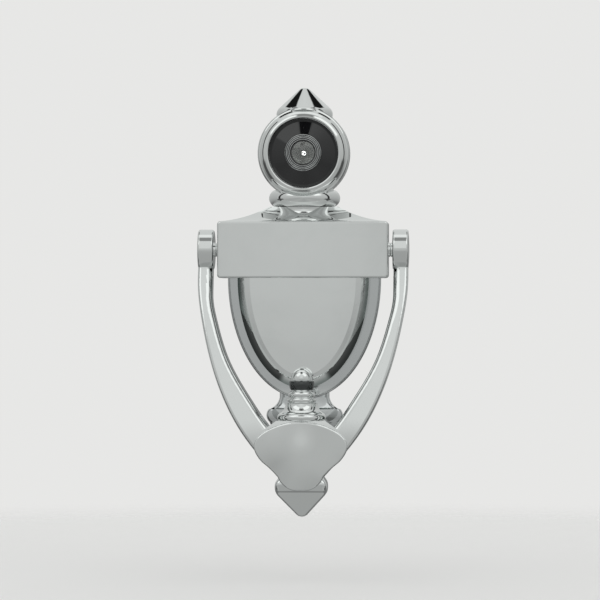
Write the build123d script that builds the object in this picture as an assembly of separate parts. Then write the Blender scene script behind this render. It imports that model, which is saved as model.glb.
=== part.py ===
from build123d import *
import os

# Door knocker with viewer, in millimetres.
# The origin is on the viewer's axis, on the door's outer face.
# Z is up, the front of the knocker faces -Y, and the door fills the space from y = 0 to y = DOOR.
# A depth is a distance in front of the door face, so a point at depth d has y = -d.

# Door: the thickness at rest, and the thinnest one that the viewer clamps
DOOR = 45.0
THINNEST_DOOR = 35.0

# Round viewer housing on the plate
HOUSING_R = 21.6
HOUSING_DEPTH = 12.0
HOUSING_EDGE = 1.6
HOUSING_LAP = 9.6
RECESS_DEPTH = 2.5
BARREL_BOSS_WALL = 3.5

# Viewer ring and black surround
RING_RIM = 1.3
RING_WIDTH = 4.0
RING_FOOT = 0.5
RING_SLOPE = 2.5
RING_SLOPE_IN = 2.2
RING_CREST = 3.3
RING_CREST_IN = 0.9
RING_TURN = 3.0
RING_TURN_IN = 0.2
RING_LIP = 2.3
SPIGOT_WALL = 1.5
SURROUND_EDGE = 0.6
SURROUND_RISE = 2.8
SURROUND_SEAT = 1.2
FIT = 0.1

# Viewer barrel, front half
BARREL_R = 7.0
BARREL_SHOULDER = 0.3
BARREL_WALL = 0.94
BARREL_REACH = 33.0
BARREL_FLANGE = 1.7
FLANGE_THICK = 2.2
FLANGE_ROUND = 0.7
LIP_THICK = 0.8
LIP_WIDTH = 0.45
THREAD_GAP = 0.06

# Lens stack in the barrel
LENS_LEDGE = 0.55
FRONT_LENS_RIM = 1.2
FRONT_LENS_DOME = 1.9
LENS_HOLLOW = 0.9
SPACER_LENGTH = 6.0
SPACER_WALL = 1.0
MIDDLE_LENS_THICK = 3.0
LENS_RING_THICK = 2.0
LENS_RING_WALL = 1.4
LENS_RING_SLOT = 0.8

# Viewer eyepiece, rear half
EYEPIECE_CLEAR = 1.4
EYEPIECE_WALL = 1.7
EYE_FLANGE = 4.0
EYE_FLANGE_THICK = 2.4
EYE_FLANGE_ROUND = 1.0
EYE_FLANGE_SLOT = 1.0
EYE_LENS_LEDGE = 0.6
EYE_LENS_THICK = 2.4
EYE_LENS_DOME = 1.2
EYE_RING_THICK = 1.6
EYE_RING_WALL = 1.2
EYE_RING_SLOT = 0.7
COIN_SLOT = 1.6

# Spire finial on top of the housing, and its collar
FINIAL_HEIGHT = 9.6
FINIAL_TIP = 1.7
FINIAL_TIP_ROUND = 2.6
FINIAL_R = 13.6
FINIAL_SHOULDER_DROP = 1.4
FINIAL_ROUND = 4.0
FINIAL_TAPER = 1.4
COLLAR_R = 8.6
COLLAR_RISE = 0.1
COLLAR_FORWARD = 5.6
COLLAR_EDGE = 2.2

# Neck bead under the housing, and the flare onto the shoulder
BEAD_R = 16.8
BEAD_RADIUS = 4.2
BEAD_LAP = 0.6
FLARE_TOP_R = 13.5
FLARE_R = 15.4
FLARE_HEIGHT = 5.2
FLARE_EDGE = 1.0
FLARE_HOLLOW = 0.5

# Hipped shoulder and rim bar
SHOULDER_HALF = 16.2
SHOULDER_DEPTH = 11.0
SHOULDER_HEIGHT = 7.0
SHOULDER_SAG = 1.3
BAR_HALF = 39.9
BAR_HEIGHT = 26.5
BAR_DEPTH = 22.0
BAR_CORNER = 1.5
BAR_EDGE = 0.9

# Urn bowl on its flange
BAR_OVERHANG = 3.7
FLANGE_DROP = 57.0
FLANGE_DEPTH = 3.6
FLANGE_EDGE = 1.3
BAND = 5.4
BOWL_DEPTH = 18.0
BOWL_BEVEL = 4.4
BOWL_BEVEL_DEPTH = 4.0
BOWL_ROUND = 4.0
GROOVE = 0.7

# Neck and foot under the bowl, turned and then flattened
NECK_R = 11.8
NECK_LAP = 0.7
NECK_ROOT = 4.0
NECK_FLARE = 1.6
NECK_FLARE_DROP = 3.3
FOOT_R = 18.1
FOOT_DROP = 7.9
FOOT_BEAD = 3.0
FOOT_SHOULDER = 1.1
FOOT_UNDER = 1.4
FOOT_TIP = 14.4
FOOT_FLATTEN = 0.24

# Casting wall, and the tapped posts for the fixing screws
WALL = 3.0
END_WALL = 4.5
POST_WALL = 2.35
UPPER_POST_DROP = 7.8
LOWER_POST_RISE = 8.3
TAP_RUN_OUT = 3.0

# Fixing screws and cup washers
SHANK_R = 1.9
SHANK_NECK = 0.3
SHANK_NECK_LENGTH = 0.6
THREAD_DEPTH = 0.25
TAP_GAP = 0.05
SCREW_END = 9.0
HEAD_R = 4.2
HEAD_THICK = 2.4
DRIVE_SLOT = 1.0
WASHER_LIP = 2.4
WASHER_THICK = 1.7
WASHER_EDGE = 0.4

# Pivot of the bail: headed pins that run in the bar's ends and are pressed into the ears
EAR_DOOR_GAP = 2.0
PIN_R = 2.5
PIN_RUNNING = 0.05
PIN_HEAD_LIP = 1.7
PIN_HEAD = 1.6
PIN_HEAD_GAP = 0.2
PIN_HEAD_EDGE = 0.4
PIVOT_BOSS_WALL = 3.5
PIVOT_BOSS = 1.5
COLLAR_RING_WALL = 0.9
COLLAR_RING = 1.9
COLLAR_RING_GROOVE = 0.5
COLLAR_SIDE_GAP = 0.05

# Ears and arms of the bail
EAR_R = 9.5
EAR_THICK = 7.3
EAR_WEB = 2.3
EAR_DOME = 0.5
EAR_EDGE = 1.0
ARM_INSET = 0.4
ARM_ROUND = 3.0
ARM_EDGE = 1.5
ARM_FRONT = 2.5
ARM_BACK = 4.7
ARM_BACK_BOW = 3.0

# The curve of the arms seen from the front: where each side starts below the pivot, the places it
# passes as shares of its drop and of its width, and its direction where it ends
OUTER_START = 12.5
OUTER_SHAPE = ((0.22, 0.938), (0.52, 0.747), (0.78, 0.438))
OUTER_END = (-1, -1.1)
INNER_START = 20.5
INNER_SHAPE = ((0.2, 0.925), (0.5, 0.706), (0.8, 0.318))
INNER_END = (-1, -1.25)

# Junction of the arms, with the pad on its front and the drop under it
JUNCTION_BEHIND = 7.0
JUNCTION_THICK = 15.0
JUNCTION_BULGE = 1.2
JUNCTION_HEIGHT = 25.7
CROTCH_HALF = 15.2
CROTCH_DROP = 2.7
BAIL_NECK_HALF = 10.9
PAD_GAP = 0.2
PAD_RISE = 3.2
PAD_HALF = 21.3
PAD_CORNER_HALF = 15.1
PAD_CORNER_DROP = 3.7
PAD_CROWN = 0.9
PAD_WIDE_RISE = 12.0
PAD_TURN = 2.6
PAD_TURN_DROP = 4.3
PAD_TONGUE = 6.5
PAD_DOME_R = 240.0
PAD_EDGE = 0.9
PAD_ROOT = 2.0
DROP_R = 12.1
DROP_WIDE = 5.4
DROP_LENGTH = 13.8
DROP_SIDE_R = 10.6
DROP_SIDE = 3.9
DROP_SHOULDER = 0.4
DROP_CREST_LOW = 1.9
DROP_CREST_ROUND = 4.0
DROP_TIP_R = 2.7
DROP_TIP = 1.2
DROP_NOTCH = 0.9
DROP_SETBACK = 1.0
DROP_CREST = 37.2
DROP_TIP_DEPTH = 26.0
DROP_BACK = 22.5
DROP_EDGE = 2.0

# Acorn finial on the bail
ACORN_SETBACK = 1.5
ACORN_HEIGHT = 24.5
ACORN_FLANGE_R = 11.4
ACORN_FLANGE_EDGE = 0.5
ACORN_FLANGE = 3.2
ACORN_FLARE_R = 8.5
ACORN_FLARE = 4.9
ACORN_BELL_R = 7.4
ACORN_BELL = 7.8
ACORN_LOW_RING_R = 6.8
ACORN_LOW_RING = 8.4
ACORN_RING_R = 6.3
ACORN_RING = 10.6
ACORN_RING_TOP = 13.2
ACORN_WAIST_R = 4.6
ACORN_WAIST = 13.5
ACORN_CUP_R = 5.7
ACORN_CUP = 15.6
ACORN_CUP_TOP_R = 5.6
ACORN_CUP_TOP = 18.1
ACORN_NUT_R = 5.0
ACORN_NUT = 18.5
ACORN_NUT_SIDE_R = 4.75
ACORN_NUT_SIDE = 21.0
ACORN_NUT_TOP_R = 3.2
ACORN_NUT_TOP = 23.3
ACORN_SPIGOT_R = 2.4
ACORN_SPIGOT = 8.0

# Strike stud on the foot, and the boss of the bail that hits it
STRIKE_DROP = 7.4
STRIKE_SEAT = 10.5
STRIKE_HEAD = 3.5
STRIKE_HEAD_R = 4.6
STRIKE_ROUND = 0.8
STRIKE_SHANK_R = 2.0
STRIKE_SHANK = 5.0
STRIKE_BOSS_R = 5.4
STRIKE_BOSS_DROP = 0.75
STRIKE_GAP = 0.05

# Heights that follow from the sizes above, from the housing down
FINIAL_TOP = HOUSING_R + FINIAL_HEIGHT
BEAD_Z = -(HOUSING_R - BEAD_LAP)
SHOULDER_TOP = BEAD_Z - BEAD_RADIUS
BAR_TOP = SHOULDER_TOP - SHOULDER_HEIGHT
BAR_BOTTOM = BAR_TOP - BAR_HEIGHT
PIVOT_Z = BAR_TOP - BAR_HEIGHT / 2
FLANGE_BOTTOM = BAR_BOTTOM - FLANGE_DROP
FOOT_Z = FLANGE_BOTTOM - FOOT_DROP
STRIKE_Z = FOOT_Z - STRIKE_DROP
SEAT_Z = STRIKE_Z + STRIKE_BOSS_R + STRIKE_BOSS_DROP
BAIL_NECK_Z = SEAT_Z - JUNCTION_HEIGHT
PAD_TOP_Z = SEAT_Z - PAD_GAP
PAD_TONGUE_Z = BAIL_NECK_Z - PAD_TONGUE
ARM_TOP = PIVOT_Z - EAR_R * 0.3

# Radii and half widths that follow
RING_OUTER_R = HOUSING_R - RING_RIM
RING_BORE_R = RING_OUTER_R - RING_WIDTH
SHOULDER_R = BARREL_R + BARREL_SHOULDER
BORE_R = BARREL_R - BARREL_WALL
THREAD_R = BORE_R - THREAD_GAP
FRONT_LENS_R = THREAD_R + LENS_LEDGE
OPENING_R = FRONT_LENS_R - LIP_WIDTH
FLANGE_R = BARREL_R + BARREL_FLANGE
EYE_FLANGE_R = BARREL_R + EYE_FLANGE
EYE_BORE_R = THREAD_R - EYEPIECE_WALL
EYE_LENS_R = EYE_BORE_R + EYE_LENS_LEDGE
FLANGE_HALF = BAR_HALF - BAR_OVERHANG
BOWL_HALF = FLANGE_HALF - BAND
BOWL_DROP = FLANGE_DROP - BAND
SCREW_END_R = SHANK_R - THREAD_DEPTH
POST_R = SCREW_END_R + POST_WALL
EAR_INNER = BAR_HALF + COLLAR_RING + 2 * COLLAR_SIDE_GAP
EAR_OUTER = EAR_INNER + EAR_THICK
PIN_END = EAR_OUTER - EAR_WEB

# Depths and places along the viewer's axis that follow
RECESS_FLOOR = HOUSING_DEPTH - RECESS_DEPTH
SURROUND_FRONT = HOUSING_DEPTH + SURROUND_EDGE + SURROUND_RISE
BARREL_SEAT = SURROUND_FRONT - SURROUND_SEAT
BARREL_FRONT = BARREL_SEAT + FLANGE_THICK
LENS_SEAT = BARREL_FRONT - LIP_THICK - FRONT_LENS_RIM
MIDDLE_LENS_START = SPACER_LENGTH - LENS_SEAT
LENS_RING_START = MIDDLE_LENS_START + MIDDLE_LENS_THICK
EYEPIECE_START = LENS_RING_START + LENS_RING_THICK + EYEPIECE_CLEAR + DOOR - THINNEST_DOOR
EYE_LENS_SEAT = DOOR - EYE_RING_THICK - EYE_LENS_THICK
PIVOT_DEPTH = EAR_R + EAR_DOOR_GAP
STRIKE_FACE = STRIKE_SEAT + STRIKE_HEAD
JUNCTION_BACK = STRIKE_FACE + JUNCTION_BEHIND
JUNCTION_FRONT = JUNCTION_BACK + JUNCTION_THICK
JUNCTION_MIDDLE = (JUNCTION_BACK + JUNCTION_FRONT) / 2
PAD_CREST = JUNCTION_FRONT + PAD_RISE

# Heights of the two fixing screws
UPPER_SCREW_Z = BAR_TOP - UPPER_POST_DROP
LOWER_SCREW_Z = BAR_BOTTOM - BOWL_DROP + LOWER_POST_RISE

# Larger than the whole knocker
EVERYWHERE = 400.0

# A side view from the right: depth to the right, height up
SIDE = Plane((0, 0, 0), x_dir=(0, -1, 0), z_dir=(-1, 0, 0))


def face_of(lines, plane):
    """A flat face bounded by the given joined lines, laid on a plane."""
    return plane * make_face(Curve() + lines)


def outline(points, plane):
    """A flat face with straight sides."""
    return face_of([Polyline(*points, close=True)], plane)


def cap_middle(radius, rim, crown):
    """The height, at half the radius, of a cap that is square to its axis at the crown."""
    rise = crown - rim
    ball = (radius ** 2 + rise ** 2) / (2 * rise)
    reach = (ball ** 2 - (radius / 2) ** 2) ** 0.5
    return crown - ball + (reach if rise > 0 else -reach)


def cap_arc(radius, rim, crown):
    """An arc from a radius at one height to the axis at another, square to the axis there."""
    return ThreePointArc((radius, rim), (radius / 2, cap_middle(radius, rim, crown)), (0, crown))


def turned_up(lines):
    """Turn a profile of radius and height about the Z axis."""
    return revolve(face_of(lines, Plane.XZ), Axis.Z)


def turned_through(points):
    """Turn a profile of radius and y about the viewer's axis."""
    return revolve(outline(points, Plane.XY), Axis.Y)


def rod_through(radius, start, end, z=0.0):
    """A round rod along Y between two values of y."""
    middle = (start + end) / 2
    return Pos(0, middle, z) * Rot(90, 0, 0) * Cylinder(radius, end - start)


def rod_across(radius, start, end):
    """A round rod along X on the pivot's axis, between two values of x."""
    middle = (start + end) / 2
    return Pos(middle, -PIVOT_DEPTH, PIVOT_Z) * Rot(0, 90, 0) * Cylinder(radius, end - start)


def oval_block(half_width, drop, depth):
    """A block with an oval outline, hung from the underside of the bar."""
    oval = Plane.XZ * Pos(0, BAR_BOTTOM) * Ellipse(half_width, drop)
    return extrude(oval, depth)


def front_rim(solid, depth):
    """The edges of a solid that lie at one depth."""
    return solid.edges().filter_by_position(Axis.Y, -depth - 0.01, -depth + 0.01)


def below(z):
    """Everything lower than a height."""
    return Pos(0, 0, z - EVERYWHERE / 2) * Box(EVERYWHERE, EVERYWHERE, EVERYWHERE)


def before_door():
    """Everything in front of the door face."""
    return Pos(0, -EVERYWHERE / 2, 0) * Box(EVERYWHERE, EVERYWHERE, EVERYWHERE)


def spire_finial():
    """The pointed finial on top, half turned, with its collar against the housing."""
    shoulder_z = HOUSING_R - FINIAL_SHOULDER_DROP
    root_z = HOUSING_R - HOUSING_LAP
    spire = make_face(
        Polyline((0, FINIAL_TOP), (FINIAL_TIP, FINIAL_TOP), (FINIAL_R, shoulder_z),
                 (FINIAL_R - FINIAL_TAPER, root_z), (0, root_z), close=True)
    )
    tip = spire.vertices().sort_by_distance((FINIAL_TIP, FINIAL_TOP, 0))[0]
    spire = fillet(tip, FINIAL_TIP_ROUND)
    shoulder = spire.vertices().sort_by_distance((FINIAL_R, shoulder_z, 0))[0]
    spire = fillet(shoulder, FINIAL_ROUND)
    cone = revolve(Plane.XZ * spire, Axis.Z)
    collar = Cylinder(COLLAR_R, COLLAR_R + COLLAR_RISE)
    collar = fillet(collar.edges().sort_by(Axis.Z)[-1], COLLAR_EDGE)
    collar = Pos(0, -COLLAR_FORWARD, HOUSING_R + (COLLAR_RISE - COLLAR_R) / 2) * collar
    return cone + collar


def viewer_housing():
    """The round housing of the viewer, before its bore and recess are cut."""
    drum = rod_through(HOUSING_R, -HOUSING_DEPTH, 0)
    return fillet(front_rim(drum, HOUSING_DEPTH), HOUSING_EDGE)


def neck_bead():
    """The turned neck under the housing: core, half-round bead, and flare onto the shoulder."""
    core_r = BEAD_R - BEAD_RADIUS
    root_z = HOUSING_LAP - HOUSING_R
    core = Pos(0, 0, (root_z + SHOULDER_TOP) / 2) * Cylinder(core_r, root_z - SHOULDER_TOP)
    bead = turned_up([
        Line((0, BEAD_Z + BEAD_RADIUS), (core_r, BEAD_Z + BEAD_RADIUS)),
        ThreePointArc((core_r, BEAD_Z + BEAD_RADIUS), (BEAD_R, BEAD_Z), (core_r, BEAD_Z - BEAD_RADIUS)),
        Line((core_r, BEAD_Z - BEAD_RADIUS), (0, BEAD_Z - BEAD_RADIUS)),
        Line((0, BEAD_Z - BEAD_RADIUS), (0, BEAD_Z + BEAD_RADIUS)),
    ])
    flare_foot = SHOULDER_TOP - FLARE_HEIGHT
    cove = ((FLARE_TOP_R + FLARE_R) / 2 - FLARE_HOLLOW, (SHOULDER_TOP + flare_foot) / 2 - FLARE_HOLLOW)
    flare = turned_up([
        Line((0, SHOULDER_TOP), (FLARE_TOP_R, SHOULDER_TOP)),
        ThreePointArc((FLARE_TOP_R, SHOULDER_TOP), cove, (FLARE_R, flare_foot + FLARE_EDGE)),
        Line((FLARE_R, flare_foot + FLARE_EDGE), (FLARE_R, flare_foot)),
        Line((FLARE_R, flare_foot), (0, flare_foot)),
        Line((0, flare_foot), (0, SHOULDER_TOP)),
    ])
    return core + bead + flare


def shoulder_side(top_reach, bottom_reach):
    """One concave side of the shoulder, as reach and height."""
    middle = ((top_reach + bottom_reach) / 2, (SHOULDER_TOP + BAR_TOP) / 2 - SHOULDER_SAG)
    return ThreePointArc((top_reach, SHOULDER_TOP), middle, (bottom_reach, BAR_TOP))


def hipped_shoulder():
    """The concave hipped shoulder between neck and bar: a front profile crossed with a side profile."""
    reach = BAR_HALF - BAR_CORNER
    front_side = shoulder_side(SHOULDER_HALF, reach)
    foot_z = BAR_TOP - BAR_CORNER
    front = face_of([
        front_side,
        Line(front_side @ 1, (reach, foot_z)),
        Line((reach, foot_z), (0, foot_z)),
        Line((0, foot_z), (0, SHOULDER_TOP)),
        Line((0, SHOULDER_TOP), front_side @ 0),
    ], Plane.XZ)
    half = extrude(front, BAR_DEPTH)
    front_reach = BAR_DEPTH - BAR_EDGE
    depth_side = shoulder_side(SHOULDER_DEPTH, front_reach)
    side = face_of([
        depth_side,
        Line(depth_side @ 1, (front_reach, foot_z)),
        Line((front_reach, foot_z), (0, foot_z)),
        Line((0, foot_z), (0, SHOULDER_TOP)),
        Line((0, SHOULDER_TOP), depth_side @ 0),
    ], SIDE)
    right = half & extrude(side, BAR_HALF, both=True)
    return right + mirror(right, Plane.YZ)


def rim_bar():
    """The flat bar that carries the pivots, with softly broken edges."""
    bar = Pos(0, -BAR_DEPTH / 2, PIVOT_Z) * Box(2 * BAR_HALF, BAR_DEPTH, BAR_HEIGHT)
    ends = bar.edges().filter_by(Axis.Y)
    bar = fillet(ends, BAR_CORNER)
    return fillet(front_rim(bar, BAR_DEPTH), BAR_EDGE)


def soft_bevel(block, depth, bevel_depth, bevel, radius):
    """A block with a bevel round its front face, which runs into the face in a soft curve."""
    rim = front_rim(block, depth)
    face = block.faces().sort_by(Axis.Y)[0]
    block = chamfer(rim, bevel, bevel_depth, reference=face)
    return fillet(front_rim(block, depth), radius)


def urn_bowl():
    """The raised bowl: an oval block with a broad soft bevel, on a flange with a fine groove at its root."""
    flange = oval_block(FLANGE_HALF, FLANGE_DROP, FLANGE_DEPTH)
    flange = fillet(front_rim(flange, FLANGE_DEPTH), FLANGE_EDGE)
    groove = oval_block(BOWL_HALF + GROOVE, BOWL_DROP + GROOVE, FLANGE_DEPTH)
    groove = Pos(0, GROOVE - FLANGE_DEPTH, 0) * groove
    bowl = oval_block(BOWL_HALF, BOWL_DROP, BOWL_DEPTH)
    bowl = soft_bevel(bowl, BOWL_DEPTH, BOWL_BEVEL_DEPTH, BOWL_BEVEL, BOWL_ROUND)
    whole = (flange - groove) + bowl
    return whole & below(BAR_BOTTOM + 2 * BAR_CORNER)


def flattened(solid, share):
    """A turned solid pressed flatter from front to back."""
    return scale(solid, by=(1, share, 1))


def turned_foot():
    """The neck under the bowl and the foot below it, turned and then pressed nearly flat."""
    neck_end = (NECK_R, FLANGE_BOTTOM + NECK_LAP)
    neck_root = (NECK_R, neck_end[1] + NECK_ROOT)
    neck_middle = (NECK_R + NECK_FLARE, neck_end[1] - NECK_FLARE_DROP)
    bead_top = (FOOT_R - FOOT_SHOULDER, FOOT_Z + FOOT_BEAD)
    bead_bottom = (FOOT_R - FOOT_UNDER, FOOT_Z - FOOT_BEAD)
    foot = turned_up([
        Line((0, neck_root[1]), neck_root),
        Line(neck_root, neck_end),
        ThreePointArc(neck_end, neck_middle, bead_top),
        ThreePointArc(bead_top, (FOOT_R, FOOT_Z), bead_bottom),
        cap_arc(bead_bottom[0], bead_bottom[1], FOOT_Z - FOOT_TIP),
        Line((0, FOOT_Z - FOOT_TIP), (0, neck_root[1])),
    ])
    return flattened(foot, FOOT_FLATTEN)


def casting_hollows():
    """What is cored out of the plate from behind."""
    bar_room = Pos(0, -(BAR_DEPTH - WALL) / 2, PIVOT_Z) * Box(
        2 * (BAR_HALF - END_WALL), BAR_DEPTH - WALL, BAR_HEIGHT - 2 * WALL)
    bowl_depth = BOWL_DEPTH - WALL
    bowl_room = oval_block(BOWL_HALF - WALL, BOWL_DROP - WALL, bowl_depth)
    bowl_room = chamfer(front_rim(bowl_room, bowl_depth), BOWL_BEVEL - WALL / 2)
    bowl_room = bowl_room & below(PIVOT_Z)
    housing_room = rod_through(HOUSING_R - WALL, -(RECESS_FLOOR - WALL), 0)
    housing_room = housing_room - rod_through(BARREL_R + BARREL_BOSS_WALL, -HOUSING_DEPTH, 0)
    neck_r = BEAD_R - BEAD_RADIUS - WALL
    neck_top = -(RING_BORE_R + SPIGOT_WALL + FIT + WALL / 2)
    neck_bottom = BAR_TOP - 1.5 * WALL
    neck_room = Pos(0, 0, (neck_top + neck_bottom) / 2) * Cylinder(neck_r, neck_top - neck_bottom)
    return bar_room + bowl_room + housing_room + neck_room


def plate_outside():
    """The plate's outer form as one full solid, down to its flat back."""
    body = spire_finial() + viewer_housing() + neck_bead() + hipped_shoulder()
    body = body + rim_bar() + urn_bowl() + turned_foot()
    body = body + rod_through(STRIKE_BOSS_R, -STRIKE_SEAT, 0, STRIKE_Z)
    return body & before_door()


def posts_and_bosses():
    """What stands in the hollows: the two posts for the screws, and the thickened ends where the pins run."""
    upper = rod_through(POST_R, WALL - BAR_DEPTH, 0, UPPER_SCREW_Z)
    lower = rod_through(POST_R, WALL - BOWL_DEPTH, 0, LOWER_SCREW_Z)
    inner = BAR_HALF - END_WALL - PIVOT_BOSS
    boss = rod_across(PIN_R + PIVOT_BOSS_WALL, inner, BAR_HALF - END_WALL / 2)
    return upper + lower + boss + mirror(boss, Plane.YZ)


def plate_bores():
    """What is drilled or faced in the plate after casting."""
    cuts = rod_through(RING_OUTER_R + FIT, -2 * HOUSING_DEPTH, -HOUSING_DEPTH)
    cuts = cuts + rod_through(RING_BORE_R + SPIGOT_WALL + FIT, -HOUSING_DEPTH, -RECESS_FLOOR)
    cuts = cuts + rod_through(SHOULDER_R + FIT, -HOUSING_DEPTH, 0)
    cuts = cuts + rod_through(STRIKE_HEAD_R + 4 * FIT, -2 * STRIKE_SEAT, -STRIKE_SEAT, STRIKE_Z)
    cuts = cuts + rod_through(STRIKE_SHANK_R, -STRIKE_SEAT, STRIKE_SHANK - STRIKE_SEAT, STRIKE_Z)
    for z in (UPPER_SCREW_Z, LOWER_SCREW_Z):
        cuts = cuts + rod_through(SCREW_END_R + TAP_GAP, -(SCREW_END + TAP_RUN_OUT), 0, z)
    bore = rod_across(PIN_R + PIN_RUNNING, BAR_HALF / 2, BAR_HALF)
    return cuts + bore + mirror(bore, Plane.YZ)


def urn_plate():
    """The cast plate in one piece."""
    outside = plate_outside()
    inside = outside & posts_and_bosses()
    return (outside - casting_hollows()) + inside - plate_bores()


def viewer_ring():
    """The ring: a broad sloping face that rises to the bore, and a spigot in the housing's recess."""
    outer_foot = (RING_OUTER_R, -HOUSING_DEPTH)
    outer_lip = (RING_OUTER_R, -(HOUSING_DEPTH + RING_FOOT))
    slope = (RING_BORE_R + RING_SLOPE_IN, -(HOUSING_DEPTH + RING_SLOPE))
    crest = (RING_BORE_R + RING_CREST_IN, -(HOUSING_DEPTH + RING_CREST))
    turn = (RING_BORE_R + RING_TURN_IN, -(HOUSING_DEPTH + RING_TURN))
    inner_lip = (RING_BORE_R, -(HOUSING_DEPTH + RING_LIP))
    profile = face_of([
        Line(outer_foot, outer_lip),
        ThreePointArc(outer_lip, slope, crest),
        ThreePointArc(crest, turn, inner_lip),
        Line(inner_lip, (RING_BORE_R, -RECESS_FLOOR)),
        Line((RING_BORE_R, -RECESS_FLOOR), (RING_BORE_R + SPIGOT_WALL, -RECESS_FLOOR)),
        Line((RING_BORE_R + SPIGOT_WALL, -RECESS_FLOOR), (RING_BORE_R + SPIGOT_WALL, -HOUSING_DEPTH)),
        Line((RING_BORE_R + SPIGOT_WALL, -HOUSING_DEPTH), outer_foot),
    ], Plane.XY)
    return revolve(profile, Axis.Y)


def lens_surround():
    """The black cone between ring and lens, with a seat for the barrel's flange."""
    edge_r = RING_BORE_R - FIT
    edge_y = -(HOUSING_DEPTH + SURROUND_EDGE)
    return turned_through([
        (SHOULDER_R + FIT, -RECESS_FLOOR), (edge_r, -RECESS_FLOOR), (edge_r, edge_y),
        (FLANGE_R + FIT, -SURROUND_FRONT), (FLANGE_R + FIT, -BARREL_SEAT),
        (SHOULDER_R + FIT, -BARREL_SEAT),
    ])


def outer_barrel():
    """The flanged front tube of the viewer, a little wider in the plate than in the door."""
    shell = rod_through(SHOULDER_R, -BARREL_SEAT, 0) + rod_through(BARREL_R, 0, BARREL_REACH)
    flange = rod_through(FLANGE_R, -BARREL_FRONT, -BARREL_SEAT)
    flange = fillet(front_rim(flange, BARREL_FRONT), FLANGE_ROUND)
    shell = shell + flange
    shell = shell - rod_through(BORE_R, -LENS_SEAT, BARREL_REACH)
    shell = shell - rod_through(FRONT_LENS_R + THREAD_GAP, -(LENS_SEAT + FRONT_LENS_RIM), -LENS_SEAT)
    return shell - rod_through(OPENING_R, -BARREL_FRONT, -LENS_SEAT)


def objective_lens():
    """The front lens: domed outside, hollow behind."""
    rim = LENS_SEAT + FRONT_LENS_RIM
    dome_r = OPENING_R - THREAD_GAP
    hollow_r = FRONT_LENS_R - SPACER_WALL
    profile = face_of([
        Line((0, -(rim + FRONT_LENS_DOME)), (0, -(LENS_SEAT + LENS_HOLLOW))),
        cap_arc(hollow_r, -LENS_SEAT, -(LENS_SEAT + LENS_HOLLOW)),
        Line((hollow_r, -LENS_SEAT), (FRONT_LENS_R, -LENS_SEAT)),
        Line((FRONT_LENS_R, -LENS_SEAT), (FRONT_LENS_R, -rim)),
        Line((FRONT_LENS_R, -rim), (dome_r, -rim)),
        cap_arc(dome_r, -rim, -(rim + FRONT_LENS_DOME)),
    ], Plane.XY)
    return revolve(profile, Axis.Y)


def ring_between(outer_r, inner_r, start, end):
    """A plain ring along Y."""
    return rod_through(outer_r, start, end) - rod_through(inner_r, start, end)


def spanner_slots(ring, outer_r, face_y, depth):
    """Two slots across a ring's rear face, for a coin or a spanner."""
    slot = Pos(0, face_y, 0) * Box(2 * outer_r + 2, 2 * depth, COIN_SLOT)
    return ring - slot


def lens_spacer():
    """The tube that keeps the two front lenses apart."""
    return ring_between(THREAD_R, THREAD_R - SPACER_WALL, -LENS_SEAT, MIDDLE_LENS_START)


def middle_lens():
    """The second lens, hollow on its front face."""
    disc = rod_through(THREAD_R, MIDDLE_LENS_START, LENS_RING_START)
    hollow_r = THREAD_R - SPACER_WALL
    ball_r = (hollow_r ** 2 + LENS_HOLLOW ** 2) / (2 * LENS_HOLLOW)
    return disc - Pos(0, MIDDLE_LENS_START + LENS_HOLLOW - ball_r, 0) * Sphere(ball_r)


def lens_ring():
    """The ring that holds the front lenses in the barrel."""
    end = LENS_RING_START + LENS_RING_THICK
    ring = ring_between(THREAD_R, THREAD_R - LENS_RING_WALL, LENS_RING_START, end)
    return spanner_slots(ring, THREAD_R, end, LENS_RING_SLOT)


def eyepiece_barrel():
    """The rear tube with its slotted flange against the door's inner face."""
    rear = DOOR + EYE_FLANGE_THICK
    flange = rod_through(EYE_FLANGE_R, DOOR, rear)
    flange = fillet(front_rim(flange, -rear), EYE_FLANGE_ROUND)
    body = flange + rod_through(THREAD_R, EYEPIECE_START, DOOR)
    body = body - rod_through(EYE_BORE_R, EYEPIECE_START, rear)
    body = body - rod_through(EYE_LENS_R + THREAD_GAP, EYE_LENS_SEAT, rear)
    return spanner_slots(body, EYE_FLANGE_R, rear, EYE_FLANGE_SLOT)


def eye_lens():
    """The lens at the eye, domed towards the viewer's inside."""
    crown = EYE_LENS_SEAT - EYE_LENS_DOME
    dome_r = EYE_BORE_R - THREAD_GAP
    ball_r = (dome_r ** 2 + EYE_LENS_DOME ** 2) / (2 * EYE_LENS_DOME)
    disc = rod_through(EYE_LENS_R, EYE_LENS_SEAT, EYE_LENS_SEAT + EYE_LENS_THICK)
    cap = rod_through(dome_r, crown, EYE_LENS_SEAT) & Pos(0, crown + ball_r, 0) * Sphere(ball_r)
    return disc + cap


def eye_lens_ring():
    """The ring that holds the eye lens."""
    ring = ring_between(EYE_LENS_R, EYE_LENS_R - EYE_RING_WALL, EYE_LENS_SEAT + EYE_LENS_THICK, DOOR)
    return spanner_slots(ring, EYE_LENS_R, DOOR, EYE_RING_SLOT)


def arm_curve(start, end, shape):
    """The places that one side of an arm passes, from shares of its drop and of its width."""
    points = [start]
    for drop_share, width_share in shape:
        x = end[0] + (start[0] - end[0]) * width_share
        z = start[1] + (end[1] - start[1]) * drop_share
        points.append((x, z))
    points.append(end)
    return points


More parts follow.
